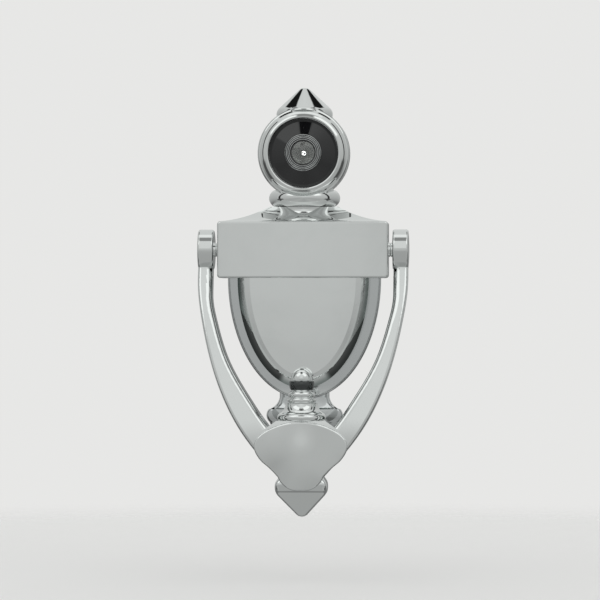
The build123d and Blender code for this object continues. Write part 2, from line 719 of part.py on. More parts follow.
def bail_front_face():
    """The right half of the bail's frame, seen from the front."""
    inner_x = EAR_INNER + ARM_INSET
    neck = (BAIL_NECK_HALF, BAIL_NECK_Z)
    crotch = (CROTCH_HALF, SEAT_Z - CROTCH_DROP)
    outer = arm_curve((EAR_OUTER, PIVOT_Z - OUTER_START), neck, OUTER_SHAPE)
    inner = arm_curve((inner_x, PIVOT_Z - INNER_START), crotch, INNER_SHAPE)
    return face_of([
        Line((EAR_OUTER, ARM_TOP), outer[0]),
        Spline(*outer, tangents=((0, -1), OUTER_END)),
        Line(neck, (0, BAIL_NECK_Z)),
        Line((0, BAIL_NECK_Z), (0, SEAT_Z)),
        Line((0, SEAT_Z), (ACORN_FLANGE_R, SEAT_Z)),
        Line((ACORN_FLANGE_R, SEAT_Z), crotch),
        Spline(*inner, tangents=((0, -1), INNER_END)),
        Line(inner[0], (inner_x, ARM_TOP)),
        Line((inner_x, ARM_TOP), (EAR_OUTER, ARM_TOP)),
    ], Plane.XZ)


def bail_side_face():
    """The bail's frame seen from the side, as depth and height: it leans forward as it goes down."""
    front_top = PIVOT_DEPTH + ARM_FRONT
    back_top = PIVOT_DEPTH - ARM_BACK
    back_middle = ((back_top + JUNCTION_BACK) / 2 + ARM_BACK_BOW, (ARM_TOP + SEAT_Z) / 2)
    front_end = (JUNCTION_FRONT + JUNCTION_BULGE, BAIL_NECK_Z)
    return face_of([
        ThreePointArc((front_top, ARM_TOP), (JUNCTION_FRONT, SEAT_Z), front_end),
        Line(front_end, (JUNCTION_BACK, BAIL_NECK_Z)),
        Line((JUNCTION_BACK, BAIL_NECK_Z), (JUNCTION_BACK, SEAT_Z)),
        ThreePointArc((JUNCTION_BACK, SEAT_Z), back_middle, (back_top, ARM_TOP)),
        Line((back_top, ARM_TOP), (front_top, ARM_TOP)),
    ], SIDE)


def bail_arm():
    """The right arm with half of the junction, as a front view crossed with a side view.
    Its front face is well rounded along the inner edge and less along the outer edge."""
    arm = extrude(bail_front_face(), EVERYWHERE / 4) & extrude(bail_side_face(), EVERYWHERE / 4, both=True)
    long_edge = (PIVOT_Z - SEAT_Z) * 0.7
    long_edges = arm.edges().filter_by(lambda edge: edge.length > long_edge)
    front_edges = long_edges.sort_by(Axis.Y)[:2].sort_by(Axis.X)
    arm = fillet(front_edges[0], ARM_ROUND)
    long_edges = arm.edges().filter_by(lambda edge: edge.length > long_edge)
    outer_front = long_edges.sort_by(lambda edge: edge.center().Y - edge.center().X)[0]
    return fillet(outer_front, ARM_EDGE)


def ear():
    """The right ear: a disc about the pivot, slightly domed outside, with a blind hole for the pin."""
    profile = make_face(Curve() + [
        Line((EAR_INNER, 0), (EAR_INNER, EAR_R)),
        Line((EAR_INNER, EAR_R), (EAR_OUTER, EAR_R)),
        ThreePointArc((EAR_OUTER, EAR_R), (cap_middle(EAR_R, EAR_OUTER, EAR_OUTER + EAR_DOME), EAR_R / 2),
                      (EAR_OUTER + EAR_DOME, 0)),
        Line((EAR_OUTER + EAR_DOME, 0), (EAR_INNER, 0)),
    ])
    for x in (EAR_INNER, EAR_OUTER):
        corner = profile.vertices().sort_by_distance((x, EAR_R, 0))[0]
        profile = fillet(corner, EAR_EDGE)
    return Pos(0, -PIVOT_DEPTH, PIVOT_Z) * revolve(profile, Axis.X)


def pad():
    """The raised pad: rounded at the top, with a tongue that laps over the drop, and gently domed."""
    corner = (PAD_CORNER_HALF, PAD_TOP_Z - PAD_CORNER_DROP)
    widest = (PAD_HALF, BAIL_NECK_Z + PAD_WIDE_RISE)
    turn = (PAD_HALF - PAD_TURN, widest[1] - PAD_TURN_DROP)
    neck = (BAIL_NECK_HALF - 3 * FIT, BAIL_NECK_Z)
    tongue = (0, PAD_TONGUE_Z)
    half = face_of([
        ThreePointArc((0, PAD_TOP_Z), (PAD_CORNER_HALF / 2, PAD_TOP_Z - PAD_CROWN), corner),
        Spline(corner, widest, turn, neck, tangents=((1, -0.5), OUTER_END)),
        ThreePointArc(neck, (neck[0] * 0.68, PAD_TONGUE_Z + PAD_TONGUE * 0.3), tongue),
        Line(tongue, (0, PAD_TOP_Z)),
    ], Plane.XZ)
    block = extrude(half, PAD_CREST)
    block = block + mirror(block, Plane.YZ)
    dome = Pos(0, PAD_DOME_R - PAD_CREST, (PAD_TOP_Z + PAD_TONGUE_Z) / 2) * Sphere(PAD_DOME_R)
    block = block & dome
    rim = block.edges().filter_by(lambda edge: edge.center().Y < -JUNCTION_FRONT)
    block = fillet(rim, PAD_EDGE)
    root = JUNCTION_FRONT - PAD_ROOT
    return block - Pos(0, EVERYWHERE / 2 - root, 0) * Box(EVERYWHERE, EVERYWHERE, EVERYWHERE)


def is_drop_rim(edge):
    """Whether an edge of the drop runs along its outline on the front."""
    box = edge.bounding_box()
    beside_middle = abs(edge.center().X) > FIT
    runs_back = box.size.X < FIT and box.size.Z < FIT
    return box.max.Z < BAIL_NECK_Z + FIT and box.max.Y < -DROP_BACK - FIT and beside_middle and not runs_back


def drop():
    """The pointed drop under the pad: a front view crossed with a side view, whose lower face slopes back."""
    neck = (BAIL_NECK_HALF - DROP_NOTCH, BAIL_NECK_Z)
    root = (neck[0], BAIL_NECK_Z + PAD_ROOT)
    wide = (DROP_R, BAIL_NECK_Z - DROP_WIDE)
    shoulder = (DROP_R - DROP_SHOULDER, BAIL_NECK_Z - DROP_WIDE / 2)
    side = (DROP_SIDE_R, wide[1] - DROP_SIDE)
    tip_z = wide[1] - DROP_LENGTH
    tip = (DROP_TIP_R, tip_z + DROP_TIP)
    slope = (tip[0] - side[0], tip[1] - side[1])
    front = face_of([
        Line((0, root[1]), root),
        Line(root, neck),
        Spline(neck, shoulder, wide, side, tangents=((1, -2), slope)),
        Line(side, tip),
        cap_arc(tip[0], tip[1], tip_z),
        Line((0, tip_z), (0, root[1])),
    ], Plane.XZ)
    front_root = JUNCTION_FRONT - DROP_SETBACK
    crest_top = (front_root, BAIL_NECK_Z)
    crest_low = (front_root, wide[1] - DROP_CREST_LOW)
    profile = face_of([
        Line((DROP_BACK, root[1]), (front_root, root[1])),
        Line((front_root, root[1]), crest_top),
        ThreePointArc(crest_top, (DROP_CREST, (crest_top[1] + crest_low[1]) / 2), crest_low),
        Line(crest_low, (DROP_TIP_DEPTH, tip_z)),
        Line((DROP_TIP_DEPTH, tip_z), (DROP_BACK, tip_z)),
        Line((DROP_BACK, tip_z), (DROP_BACK, root[1])),
    ], SIDE)
    half = extrude(front, EVERYWHERE / 4) & extrude(profile, EVERYWHERE / 4, both=True)
    whole = half + mirror(half, Plane.YZ)
    crest = whole.edges().filter_by(Axis.X).sort_by(Axis.Z)[0]
    whole = fillet(crest, DROP_CREST_ROUND)
    return fillet(whole.edges().filter_by(is_drop_rim), DROP_EDGE)


def strike_boss():
    """The flat boss behind the junction that hits the stud."""
    return rod_through(STRIKE_BOSS_R, -JUNCTION_MIDDLE, -(STRIKE_FACE + STRIKE_GAP), STRIKE_Z)


def bail():
    """The swinging knocker in one piece."""
    right = bail_arm() + ear()
    right = right - rod_across(PIN_R, EAR_INNER, PIN_END)
    body = right + mirror(right, Plane.YZ)
    body = body + pad() + drop() + strike_boss()
    spigot_hole = Cylinder(ACORN_SPIGOT_R, ACORN_SPIGOT)
    return body - Pos(0, ACORN_SETBACK - JUNCTION_MIDDLE, SEAT_Z - ACORN_SPIGOT / 2) * spigot_hole


def acorn_finial():
    """The turned acorn: base flange, bell, two rings, waist, cup and nut, with a spigot in the bail."""
    foot = (ACORN_FLANGE_R - ACORN_FLANGE_EDGE, 0)
    flange_top = (ACORN_FLANGE_R - 2 * ACORN_FLANGE_EDGE, ACORN_FLANGE)
    bell_top = (ACORN_BELL_R, ACORN_BELL)
    low_ring = (ACORN_LOW_RING_R - ACORN_FLANGE_EDGE, ACORN_LOW_RING)
    low_ring_side = (ACORN_LOW_RING_R, (ACORN_LOW_RING + ACORN_RING) / 2)
    ring = (ACORN_RING_R - ACORN_FLANGE_EDGE, ACORN_RING)
    ring_side = (ACORN_RING_R, (ACORN_RING + ACORN_RING_TOP) / 2)
    ring_top = (ACORN_RING_R - ACORN_FLANGE_EDGE, ACORN_RING_TOP)
    waist = (ACORN_WAIST_R, ACORN_WAIST)
    cup_top = (ACORN_CUP_TOP_R, ACORN_CUP_TOP)
    nut = (ACORN_NUT_R, ACORN_NUT)
    nut_top = (ACORN_NUT_TOP_R, ACORN_NUT_TOP)
    profile = [
        Line((0, -ACORN_SPIGOT), (ACORN_SPIGOT_R, -ACORN_SPIGOT)),
        Line((ACORN_SPIGOT_R, -ACORN_SPIGOT), (ACORN_SPIGOT_R, 0)),
        Line((ACORN_SPIGOT_R, 0), foot),
        ThreePointArc(foot, (ACORN_FLANGE_R, ACORN_FLANGE / 2), flange_top),
        ThreePointArc(flange_top, (ACORN_FLARE_R, ACORN_FLARE), bell_top),
        Line(bell_top, low_ring),
        ThreePointArc(low_ring, low_ring_side, ring),
        ThreePointArc(ring, ring_side, ring_top),
        Line(ring_top, waist),
        ThreePointArc(waist, (ACORN_CUP_R, ACORN_CUP), cup_top),
        Line(cup_top, nut),
        ThreePointArc(nut, (ACORN_NUT_SIDE_R, ACORN_NUT_SIDE), nut_top),
        cap_arc(nut_top[0], nut_top[1], ACORN_HEIGHT),
        Line((0, ACORN_HEIGHT), (0, -ACORN_SPIGOT)),
    ]
    return Pos(0, ACORN_SETBACK - JUNCTION_MIDDLE, SEAT_Z) * turned_up(profile)


def pivot_pin():
    """The right pin: its head inside the bar, its end pressed into the ear."""
    head_face = BAR_HALF - END_WALL - PIVOT_BOSS - PIN_HEAD_GAP
    shank = rod_across(PIN_R, head_face, PIN_END)
    head = rod_across(PIN_R + PIN_HEAD_LIP, head_face - PIN_HEAD, head_face)
    head = chamfer(head.edges().sort_by(Axis.X)[0], PIN_HEAD_EDGE)
    return shank + head


def pivot_collar():
    """The right collar between bar and ear, with a groove round its middle."""
    bore = PIN_R + PIN_RUNNING
    outer = PIN_R + COLLAR_RING_WALL
    start = BAR_HALF + COLLAR_SIDE_GAP
    middle = start + COLLAR_RING / 2
    half_groove = COLLAR_RING_GROOVE / 2
    profile = outline([
        (start, bore), (start + COLLAR_RING, bore), (start + COLLAR_RING, outer),
        (middle + half_groove, outer), (middle, outer - COLLAR_RING_GROOVE), (middle - half_groove, outer),
        (start, outer),
    ], Plane.XY)
    return Pos(0, -PIVOT_DEPTH, PIVOT_Z) * revolve(profile, Axis.X)


def strike_stud():
    """The button that the bail knocks on, riveted into the foot."""
    head = rod_through(STRIKE_HEAD_R, -STRIKE_FACE, -STRIKE_SEAT, STRIKE_Z)
    head = fillet(front_rim(head, STRIKE_FACE), STRIKE_ROUND)
    return head + rod_through(STRIKE_SHANK_R, -STRIKE_SEAT, STRIKE_SHANK - STRIKE_SEAT, STRIKE_Z)


def fixing_screw(z):
    """One screw from the room side: slotted head, short neck, shank through the door, end in the post."""
    under_head = DOOR + WASHER_THICK
    head = rod_through(HEAD_R, under_head, under_head + HEAD_THICK, z)
    head_edge = head.edges().sort_by(Axis.Y)[-1]
    head = fillet(head_edge, HEAD_THICK * 0.7)
    slot = Pos(0, under_head + HEAD_THICK, z) * Box(2 * HEAD_R, HEAD_THICK, DRIVE_SLOT)
    neck_start = DOOR - SHANK_NECK_LENGTH
    neck = rod_through(SHANK_R + SHANK_NECK, neck_start, under_head, z)
    shank = rod_through(SHANK_R, 0, neck_start, z)
    end = rod_through(SCREW_END_R, -SCREW_END, 0, z)
    return (head - slot) + neck + shank + end


def cup_washer(z):
    """One cup washer under a screw head."""
    hole = SHANK_R + SHANK_NECK + FIT
    rim_r = HEAD_R + WASHER_LIP
    top = DOOR + WASHER_THICK
    profile = outline([
        (hole, DOOR), (rim_r, DOOR), (rim_r, DOOR + WASHER_EDGE), (HEAD_R, top), (hole, top),
    ], Plane.XY)
    return Pos(0, 0, z) * revolve(profile, Axis.Y)


def pair(make):
    """The same piece at both screw places."""
    return Compound(children=[make(z) for z in (UPPER_SCREW_Z, LOWER_SCREW_Z)])


SUB_PARTS = {
    "urn_plate": urn_plate(),
    "viewer_ring": viewer_ring(),
    "lens_surround": lens_surround(),
    "outer_barrel": outer_barrel(),
    "objective_lens": objective_lens(),
    "lens_spacer": lens_spacer(),
    "middle_lens": middle_lens(),
    "lens_ring": lens_ring(),
    "eyepiece_barrel": eyepiece_barrel(),
    "eye_lens": eye_lens(),
    "eye_lens_ring": eye_lens_ring(),
    "bail": bail(),
    "acorn_finial": acorn_finial(),
    "pivot_pin_right": pivot_pin(),
    "pivot_pin_left": mirror(pivot_pin(), Plane.YZ),
    "pivot_collar_right": pivot_collar(),
    "pivot_collar_left": mirror(pivot_collar(), Plane.YZ),
    "strike_stud": strike_stud(),
    "fixing_screws": pair(fixing_screw),
    "cup_washers": pair(cup_washer),
}

os.makedirs("parts", exist_ok=True)
for name, shape in SUB_PARTS.items():
    export_step(shape, f"parts/{name}.step")
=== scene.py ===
# %% [markdown]
# The door knocker is finished here around its imported model. The model brings the exact shape and
# place of every piece, in metres: the origin is on the viewer's axis on the door's outer face,
# Z is up and the front looks along -Y. This file adds finishes, threads, the studio and the camera.
# The frame's own box is kept, and the floor is set below it.

import math

import bmesh
import bpy
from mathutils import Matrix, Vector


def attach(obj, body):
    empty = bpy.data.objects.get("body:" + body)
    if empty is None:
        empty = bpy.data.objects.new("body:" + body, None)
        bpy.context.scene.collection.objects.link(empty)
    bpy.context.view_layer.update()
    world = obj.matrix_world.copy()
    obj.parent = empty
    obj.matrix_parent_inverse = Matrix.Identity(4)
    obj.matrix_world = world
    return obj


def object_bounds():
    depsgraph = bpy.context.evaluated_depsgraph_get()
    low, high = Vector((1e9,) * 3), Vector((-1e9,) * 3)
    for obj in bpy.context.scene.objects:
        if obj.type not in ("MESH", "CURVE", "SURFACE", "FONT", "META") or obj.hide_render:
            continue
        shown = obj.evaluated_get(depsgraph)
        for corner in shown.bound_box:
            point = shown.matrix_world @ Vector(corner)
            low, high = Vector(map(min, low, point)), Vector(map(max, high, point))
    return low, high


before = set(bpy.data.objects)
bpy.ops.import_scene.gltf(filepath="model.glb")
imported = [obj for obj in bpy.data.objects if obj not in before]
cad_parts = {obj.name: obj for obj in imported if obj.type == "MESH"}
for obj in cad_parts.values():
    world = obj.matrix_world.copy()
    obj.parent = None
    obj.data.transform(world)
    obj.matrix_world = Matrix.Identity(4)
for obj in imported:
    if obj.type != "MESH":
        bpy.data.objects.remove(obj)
cad_low, cad_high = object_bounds()
print("pieces in the frame:", len(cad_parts))

# %% [markdown]
# A photograph of a chromed object is mostly a photograph of the room around it. So the camera
# comes first: a long lens about a metre and a half away, level with the middle of the knocker and
# turned three degrees to its right, which shows a little more of the plate's right side.

# %% Camera
VIEW_TARGET = (-0.0022, 0.0, -0.0690)
VIEW_DISTANCE = 1.5
VIEW_TURN = math.radians(3.0)
VIEW_WIDTH = 0.2838
SENSOR = 36.0
NEAREST = 0.01


def place_camera():
    """A level camera, turned about the target."""
    data = bpy.data.cameras.new("camera")
    data.sensor_width = SENSOR
    data.lens = SENSOR * VIEW_DISTANCE / VIEW_WIDTH
    data.clip_start = NEAREST
    camera = bpy.data.objects.new("camera", data)
    bpy.context.scene.collection.objects.link(camera)
    x, y, z = VIEW_TARGET
    beside, before = VIEW_DISTANCE * math.sin(VIEW_TURN), VIEW_DISTANCE * math.cos(VIEW_TURN)
    camera.location = (x + beside, y - before, z)
    camera.rotation_euler = (math.pi / 2, 0, VIEW_TURN)
    bpy.context.scene.camera = camera
    return camera


camera = place_camera()
print("lens in mm:", round(camera.data.lens, 1))

# %% [markdown]
# Small helpers keep the node trees short. They feed a socket, add a node with its settings and
# inputs, make a Math node, multiply, split a vector, measure the distance over two sides at right
# angles, and turn a value between two bounds into a soft step from 0 to 1.

# %% Node helpers
def feed(tree, socket, value):
    """Put a value into a socket, or link another node's output to it."""
    if isinstance(value, bpy.types.NodeSocket):
        tree.links.new(value, socket)
    else:
        socket.default_value = value


def add_node(tree, kind, inputs=None, **settings):
    """A node of a tree, with its settings and then its inputs."""
    node = tree.nodes.new(kind)
    for name, value in settings.items():
        setattr(node, name, value)
    for name, value in (inputs or {}).items():
        feed(tree, node.inputs[name], value)
    return node


def first_output(tree, kind, inputs=None, **settings):
    """The first output of a new node."""
    return add_node(tree, kind, inputs, **settings).outputs[0]


def maths(tree, operation, *values):
    """The result of a Math node, from numbers or sockets."""
    return first_output(tree, "ShaderNodeMath", dict(enumerate(values)), operation=operation)


def times(tree, *factors):
    """All factors multiplied: of masks, 1 where every one is 1."""
    result = factors[0]
    for factor in factors[1:]:
        result = maths(tree, "MULTIPLY", result, factor)
    return result


def coordinates(tree, vector):
    """The X, Y and Z of a vector."""
    return add_node(tree, "ShaderNodeSeparateXYZ", {"Vector": vector}).outputs


def distance(tree, first, second):
    """The distance over two sides at right angles."""
    squares = [times(tree, side, side) for side in (first, second)]
    return maths(tree, "SQRT", maths(tree, "ADD", *squares))


def soft_step(tree, value, start, end, low=0.0, high=1.0):
    """A smooth step between two bounds of a value."""
    return first_output(tree, "ShaderNodeMapRange", {
        "Value": value, "From Min": start, "From Max": end, "To Min": low, "To Max": high,
    }, interpolation_type="SMOOTHSTEP")


print("helpers ready")

# %% [markdown]
# The studio is painted on the sky around the object as brightness by direction. Two angles say
# where a direction points: its turn, the angle away from the camera's side, and its swing, the
# angle from straight up round to the side and down. A pale tent is lighter above than below, with
# a soft glow where the camera stands. On it lie soft-edged cards: white screens overhead and at the
# upper left and right, a grey one before them, thin dark gaps between the tent's front and back, a
# black card high behind, and a dim one straight behind. They draw the black and white lines that
# make chrome look like chrome.

# %% Sky values
# The tent's brightness by swing, in its front half and in its back half
TENT_FRONT = ((0, 0.77), (30, 0.73), (45, 0.66), (60, 0.61), (75, 0.57), (90, 0.52), (104, 0.46),
              (116, 0.40), (130, 0.43), (150, 0.46), (180, 0.40))
TENT_BACK = ((0, 0.72), (30, 0.70), (60, 0.56), (90, 0.46), (105, 0.36), (120, 0.20), (145, 0.18),
             (180, 0.26))
# The glow by sine of the angle from its middle, and the directions across and up where that lies
GLOW = ((0, 0.62), (0.02, 0.60), (0.038, 0.55), (0.07, 0.51))
GLOW_PLACE = (-0.052, 0.020)
# The turns over which the glow gives way to the tent's front, and the front to the back
GLOW_END = (4.0, 11.0)
FRONT_END = (92.0, 102.0)
# Each card: swing, turn, half of each, softness, brightness
GREY_CARD = (0, 62, 19, 11, 5, 0.28)
UP_SCREEN = (0, 86, 24, 9, 5, 0.95)
WHITE_SCREEN = (36, 56, 23, 13, 5, 1.12)
THIN_GAP = (70, 87.5, 30, 4.5, 3, 0.03)
LOW_GAP = (122, 86, 24, 13, 8, 0.08)
BACK_CARD = (26, 116, 9, 14, 3, 0.01)
RIM_CARD = (90, 180, 100, 10, 8, 0.25)
CARDS = (GREY_CARD, UP_SCREEN, WHITE_SCREEN, THIN_GAP, LOW_GAP, BACK_CARD, RIM_CARD)
TENT_TINT = (0.975, 1.0, 0.985, 1.0)
EVEN_LIGHT = (1.0, 1.0, 1.0, 1.0)
BACKDROP = (0.80, 0.80, 0.79, 1.0)
print("cards in the studio:", len(CARDS))

# %% [markdown]
# A sky like this is plain arithmetic on the direction that a ray looks in. One helper reads a
# brightness off a ramp, the other lays a card: full inside its bounds, fading over its softness.
# Camera rays see a plain pale backdrop instead, and dull surfaces are lit evenly from all sides.

# %% Sky helpers
def value_ramp(tree, factor, stops):
    """Brightness along a factor, from (place, value) pairs."""
    ramp = add_node(tree, "ShaderNodeValToRGB", {"Fac": factor})
    elements = ramp.color_ramp.elements
    while len(elements) > 1:
        elements.remove(elements[-1])
    for index, (place, value) in enumerate(stops):
        element = elements[0] if index == 0 else elements.new(place)
        element.position = place
        element.color = (value, value, value, 1.0)
    return ramp.outputs["Color"]


def blend(tree, first, second, share):
    """First value where the share is 0, second where it is 1."""
    kept = times(tree, first, maths(tree, "SUBTRACT", 1.0, share))
    return maths(tree, "ADD", kept, times(tree, second, share))


def lay_card(tree, swing, turn, brightness, card):
    """Lay one soft-edged card of brightness over what is there."""
    mid_swing, mid_turn, half_swing, half_turn, soft, value = card
    masks = []
    for angle, middle, half in ((swing, mid_swing, half_swing), (turn, mid_turn, half_turn)):
        far = maths(tree, "ABSOLUTE", maths(tree, "SUBTRACT", angle, middle))
        masks.append(soft_step(tree, far, half - soft / 2, half + soft / 2, 1.0, 0.0))
    return blend(tree, brightness, value, times(tree, *masks))


print("a card has", len(CARDS[0]), "values")

# %% Studio sky
def sky_brightness(tree):
    """Brightness by direction: glow, tent and cards."""
    place = add_node(tree, "ShaderNodeTexCoord")
    x, y, z = coordinates(tree, place.outputs["Generated"])
    angles = (maths(tree, "ARCTAN2", maths(tree, "ABSOLUTE", x), z),
              maths(tree, "ARCCOSINE", times(tree, y, -1.0)))
    swing, turn = [times(tree, angle, math.degrees(1)) for angle in angles]
    around = times(tree, swing, 1 / 180)
    front, back = [value_ramp(tree, around, [(degree / 180, value) for degree, value in stops])
                   for stops in (TENT_FRONT, TENT_BACK)]
    across, up = [maths(tree, "SUBTRACT", *pair) for pair in zip((x, z), GLOW_PLACE)]
    glow = value_ramp(tree, distance(tree, across, up), GLOW)
    brightness = blend(tree, glow, front, soft_step(tree, turn, *GLOW_END))
    brightness = blend(tree, brightness, back, soft_step(tree, turn, *FRONT_END))
    for card in CARDS:
        brightness = lay_card(tree, swing, turn, brightness, card)
    return brightness


def build_studio():
    """The world: the sky for reflections, even light for dull faces, a backdrop for the camera."""
    world = bpy.data.worlds.new("studio")
    bpy.context.scene.world = world
    world.use_nodes = True
    tree = world.node_tree
    tree.nodes.clear()
    path = add_node(tree, "ShaderNodeLightPath")
    sky = {"Color": TENT_TINT, "Strength": sky_brightness(tree)}
    seen = first_output(tree, "ShaderNodeBackground", sky)
    for rays, color in (("Is Diffuse Ray", EVEN_LIGHT), ("Is Camera Ray", BACKDROP)):
        plain = first_output(tree, "ShaderNodeBackground", {"Color": color, "Strength": 1.0})
        both = {"Fac": path.outputs[rays], 1: seen, 2: plain}
        seen = first_output(tree, "ShaderNodeMixShader", both)
    add_node(tree, "ShaderNodeOutputWorld", {"Surface": seen})
    return world


studio = build_studio()
bpy.context.scene.view_settings.view_transform = "Standard"
print("nodes in the sky:", len(studio.node_tree.nodes))

# %% [markdown]
# Besides the sky, the studio has three flat sheets: a card, a lamp and the floor. They are stage
# and no part of the object. A sheet is one face that some kinds of rays pass by. Its material
# starts from Blender's Principled shader, as every material here does. One helper makes such a
# material with plain values, and another feeds its shader what a node tree works out.

# %% Sheet helpers
def finished(material, **inputs):
    """The material with inputs of its shader fed, where _ in a name stands for a space."""
    tree = material.node_tree
    for name, value in inputs.items():
        feed(tree, tree.nodes["Principled BSDF"].inputs[name.replace("_", " ")], value)
    return material


def principled(name, color, metallic, roughness, **more):
    """A new material with its values, and its node tree."""
    material = bpy.data.materials.new(name)
    material.use_nodes = True
    finished(material, Base_Color=(*color, 1.0), Metallic=metallic, Roughness=roughness, **more)
    return material, material.node_tree


def flat_sheet(name, corners, material, unseen_by):
    """One flat face of the studio, which some kinds of rays don't see."""
    mesh = bpy.data.meshes.new(name)
    mesh.from_pydata(corners, [], [tuple(range(len(corners)))])
    mesh.materials.append(material)
    sheet = bpy.data.objects.new(name, mesh)
    bpy.context.scene.collection.objects.link(sheet)
    for rays in unseen_by:
        setattr(sheet, "visible_" + rays, False)
    return sheet


def object_place(tree):
    """Where on its own object a point lies."""
    return add_node(tree, "ShaderNodeTexCoord").outputs["Object"]


BLACK, WHITE = (0.0, 0.0, 0.0), (1.0, 1.0, 1.0)
CORNERS = ((-1, -1), (1, -1), (1, 1), (-1, 1))
print("corners of a sheet:", len(CORNERS))

# %% [markdown]
# One small black card hangs close in front of the viewer, above the camera's view. Because it is
# near, only the curved pieces on the middle line mirror it, as short black dashes. Cameras don't
# see it, so it doesn't block any view.

# %% Near card
CARD_PLACE = (0.0, -0.153, 0.158)
CARD_HALF = (0.030, 0.034)


def near_card():
    """A black card facing the viewer, seen only in reflections."""
    x, y, z = CARD_PLACE
    half_x, half_up = CARD_HALF
    away = math.hypot(y, z)
    up_y, up_z = z / away * half_up, -y / away * half_up
    corners = [(x + i * half_x, y + j * up_y, z + j * up_z) for i, j in CORNERS]
    black = principled("near_card", BLACK, metallic=0.0, roughness=0.5, Specular_IOR_Level=0.0)[0]
    return flat_sheet("near_card", corners, black, ("camera", "diffuse", "shadow"))


card = near_card()
print("near card at", CARD_PLACE)

# %% [markdown]
# Through the viewer one sees the hall behind the door as a tiny bright spot. A small lamp behind
# the eyepiece gives that light. Only rays that come through glass see it, so from outside the
# viewer's lenses it doesn't show and blocks nothing.

# %% Hall lamp
HALL_LAMP_PLACE = 0.13
HALL_LAMP_RADIUS = 0.05
HALL_LAMP_CORNERS = 24
HALL_LAMP_LIGHT = {"Emission_Color": (1.0, 1.0, 1.0, 1.0), "Emission_Strength": 3.0}


def hall_lamp():
    """A glowing disc behind the eyepiece, seen only through glass."""
    radius, place = HALL_LAMP_RADIUS, HALL_LAMP_PLACE
    turns = [math.tau * step / HALL_LAMP_CORNERS for step in range(HALL_LAMP_CORNERS)]
    corners = [(radius * math.cos(turn), place, radius * math.sin(turn)) for turn in turns]
    glowing = principled("hall_lamp", BLACK, metallic=0.0, roughness=0.5, **HALL_LAMP_LIGHT)[0]
    return flat_sheet("hall_lamp", corners, glowing, ("camera", "diffuse", "glossy", "shadow"))


lamp = hall_lamp()
print("lamp radius:", HALL_LAMP_RADIUS)

# %% [markdown]
# The floor is a pale sheet a little below the knocker, which hangs on a door and stands on
# nothing. It fades out into the backdrop, and the chrome doesn't mirror it.

# %% Floor
FLOOR_BELOW = 0.03
FLOOR_HALF = 2.0
# Distances from the middle between which the floor fades out
FLOOR_FADE = (0.25, 0.6)


def pale_floor():
    """A plain pale floor that fades out with distance."""
    material, tree = principled("floor", BACKDROP[:3], metallic=0.0, roughness=0.7,
                                Specular_IOR_Level=0.1)
    far = add_node(tree, "ShaderNodeVectorMath", {0: object_place(tree)}, operation="LENGTH")
    finished(material, Alpha=soft_step(tree, far.outputs["Value"], *FLOOR_FADE, 1.0, 0.0))
    height = cad_low[2] - FLOOR_BELOW
    corners = [(i * FLOOR_HALF, j * FLOOR_HALF, height) for i, j in CORNERS]
    return flat_sheet("floor", corners, material, ("glossy",))


floor = pale_floor()
print("floor at", round(cad_low[2] - FLOOR_BELOW, 4))

# %% [markdown]
# Effects that several finishes share are node groups: named inputs, named outputs, built once.
# They only put out values and colours. The shader that uses them stays in each material.

# %% Group helpers
FLOAT, VECTOR, COLOR = "NodeSocketFloat", "NodeSocketVector", "NodeSocketColor"
PLACE = ("Vector", VECTOR, None)


def new_group(name, inputs, outputs, kind="ShaderNodeTree"):
    """A node group with its sockets, as (tree, what it is given, what it puts out)."""
    tree = bpy.data.node_groups.new(name, kind)
    for label, socket_kind, default in inputs:
        socket = tree.interface.new_socket(label, in_out="INPUT", socket_type=socket_kind)
        if default is not None:
            socket.default_value = default
    for label, socket_kind in outputs:
        tree.interface.new_socket(label, in_out="OUTPUT", socket_type=socket_kind)
    return tree, add_node(tree, "NodeGroupInput").outputs, add_node(tree, "NodeGroupOutput").inputs


def use_group(tree, group, inputs):
    """The outputs of a group placed in a material's tree."""
    return add_node(tree, "ShaderNodeGroup", inputs, node_tree=group).outputs


print("socket kinds:", FLOAT, VECTOR, COLOR)

# %% [markdown]
# Polishing by hand on a soft wheel leaves a cast surface very slightly wavy, in waves of one to
# three centimetres and a few hundredths of a millimetre high. The eye doesn't see the waves, only
# how they bend the lines in the reflection. Two noises of different size add up to a height.

# %% Polishing waves
# How many fine waves there are to one slow wave
FINE_TO_SLOW = 5.5


def noise(tree, vector, scale=1.0, detail=1.0, roughness=0.5, distortion=0.0):
    """The value of a noise texture, between 0 and 1."""
    return add_node(tree, "ShaderNodeTexNoise", {
        "Vector": vector, "Scale": scale, "Detail": detail, "Roughness": roughness,
        "Distortion": distortion,
    }).outputs["Fac"]


def polish_waves():
    """Height of the slow waves a polishing wheel leaves."""
    tree, given, out = new_group("polish_waves", [
        PLACE, ("Waves per metre", FLOAT, 55.0), ("Fine share", FLOAT, 0.12),
    ], [("Height", FLOAT)])
    slow = noise(tree, given["Vector"], given["Waves per metre"], roughness=0.4)
    fine = noise(tree, given["Vector"], times(tree, given["Waves per metre"], FINE_TO_SLOW))
    small = times(tree, fine, given["Fine share"])
    feed(tree, out["Height"], maths(tree, "ADD", slow, small))
    return tree


POLISH_WAVES = polish_waves()
print("group:", POLISH_WAVES.name)

# %% [markdown]
# A polished plate that has been handled isn't evenly clean. Faint smudges make it a little duller
# in patches, and hairline scratches from wiping run mostly one way. The group gives a roughness
# and a tint near white that darkens the metal by one or two percent in the smudges. A helper mixes
# two colours, and another raises a value by an amount where a mask is 1.

# %% Handling marks
# Smudges per metre, the bounds of noise over which one fades in, and the tint in one
SMUDGE_SCALE, SMUDGE_BOUNDS = 38.0, (0.48, 0.72)
CLEAN_TINT, SMUDGE_TINT = (1.0, 1.0, 1.0, 1.0), (0.975, 0.98, 0.978, 1.0)
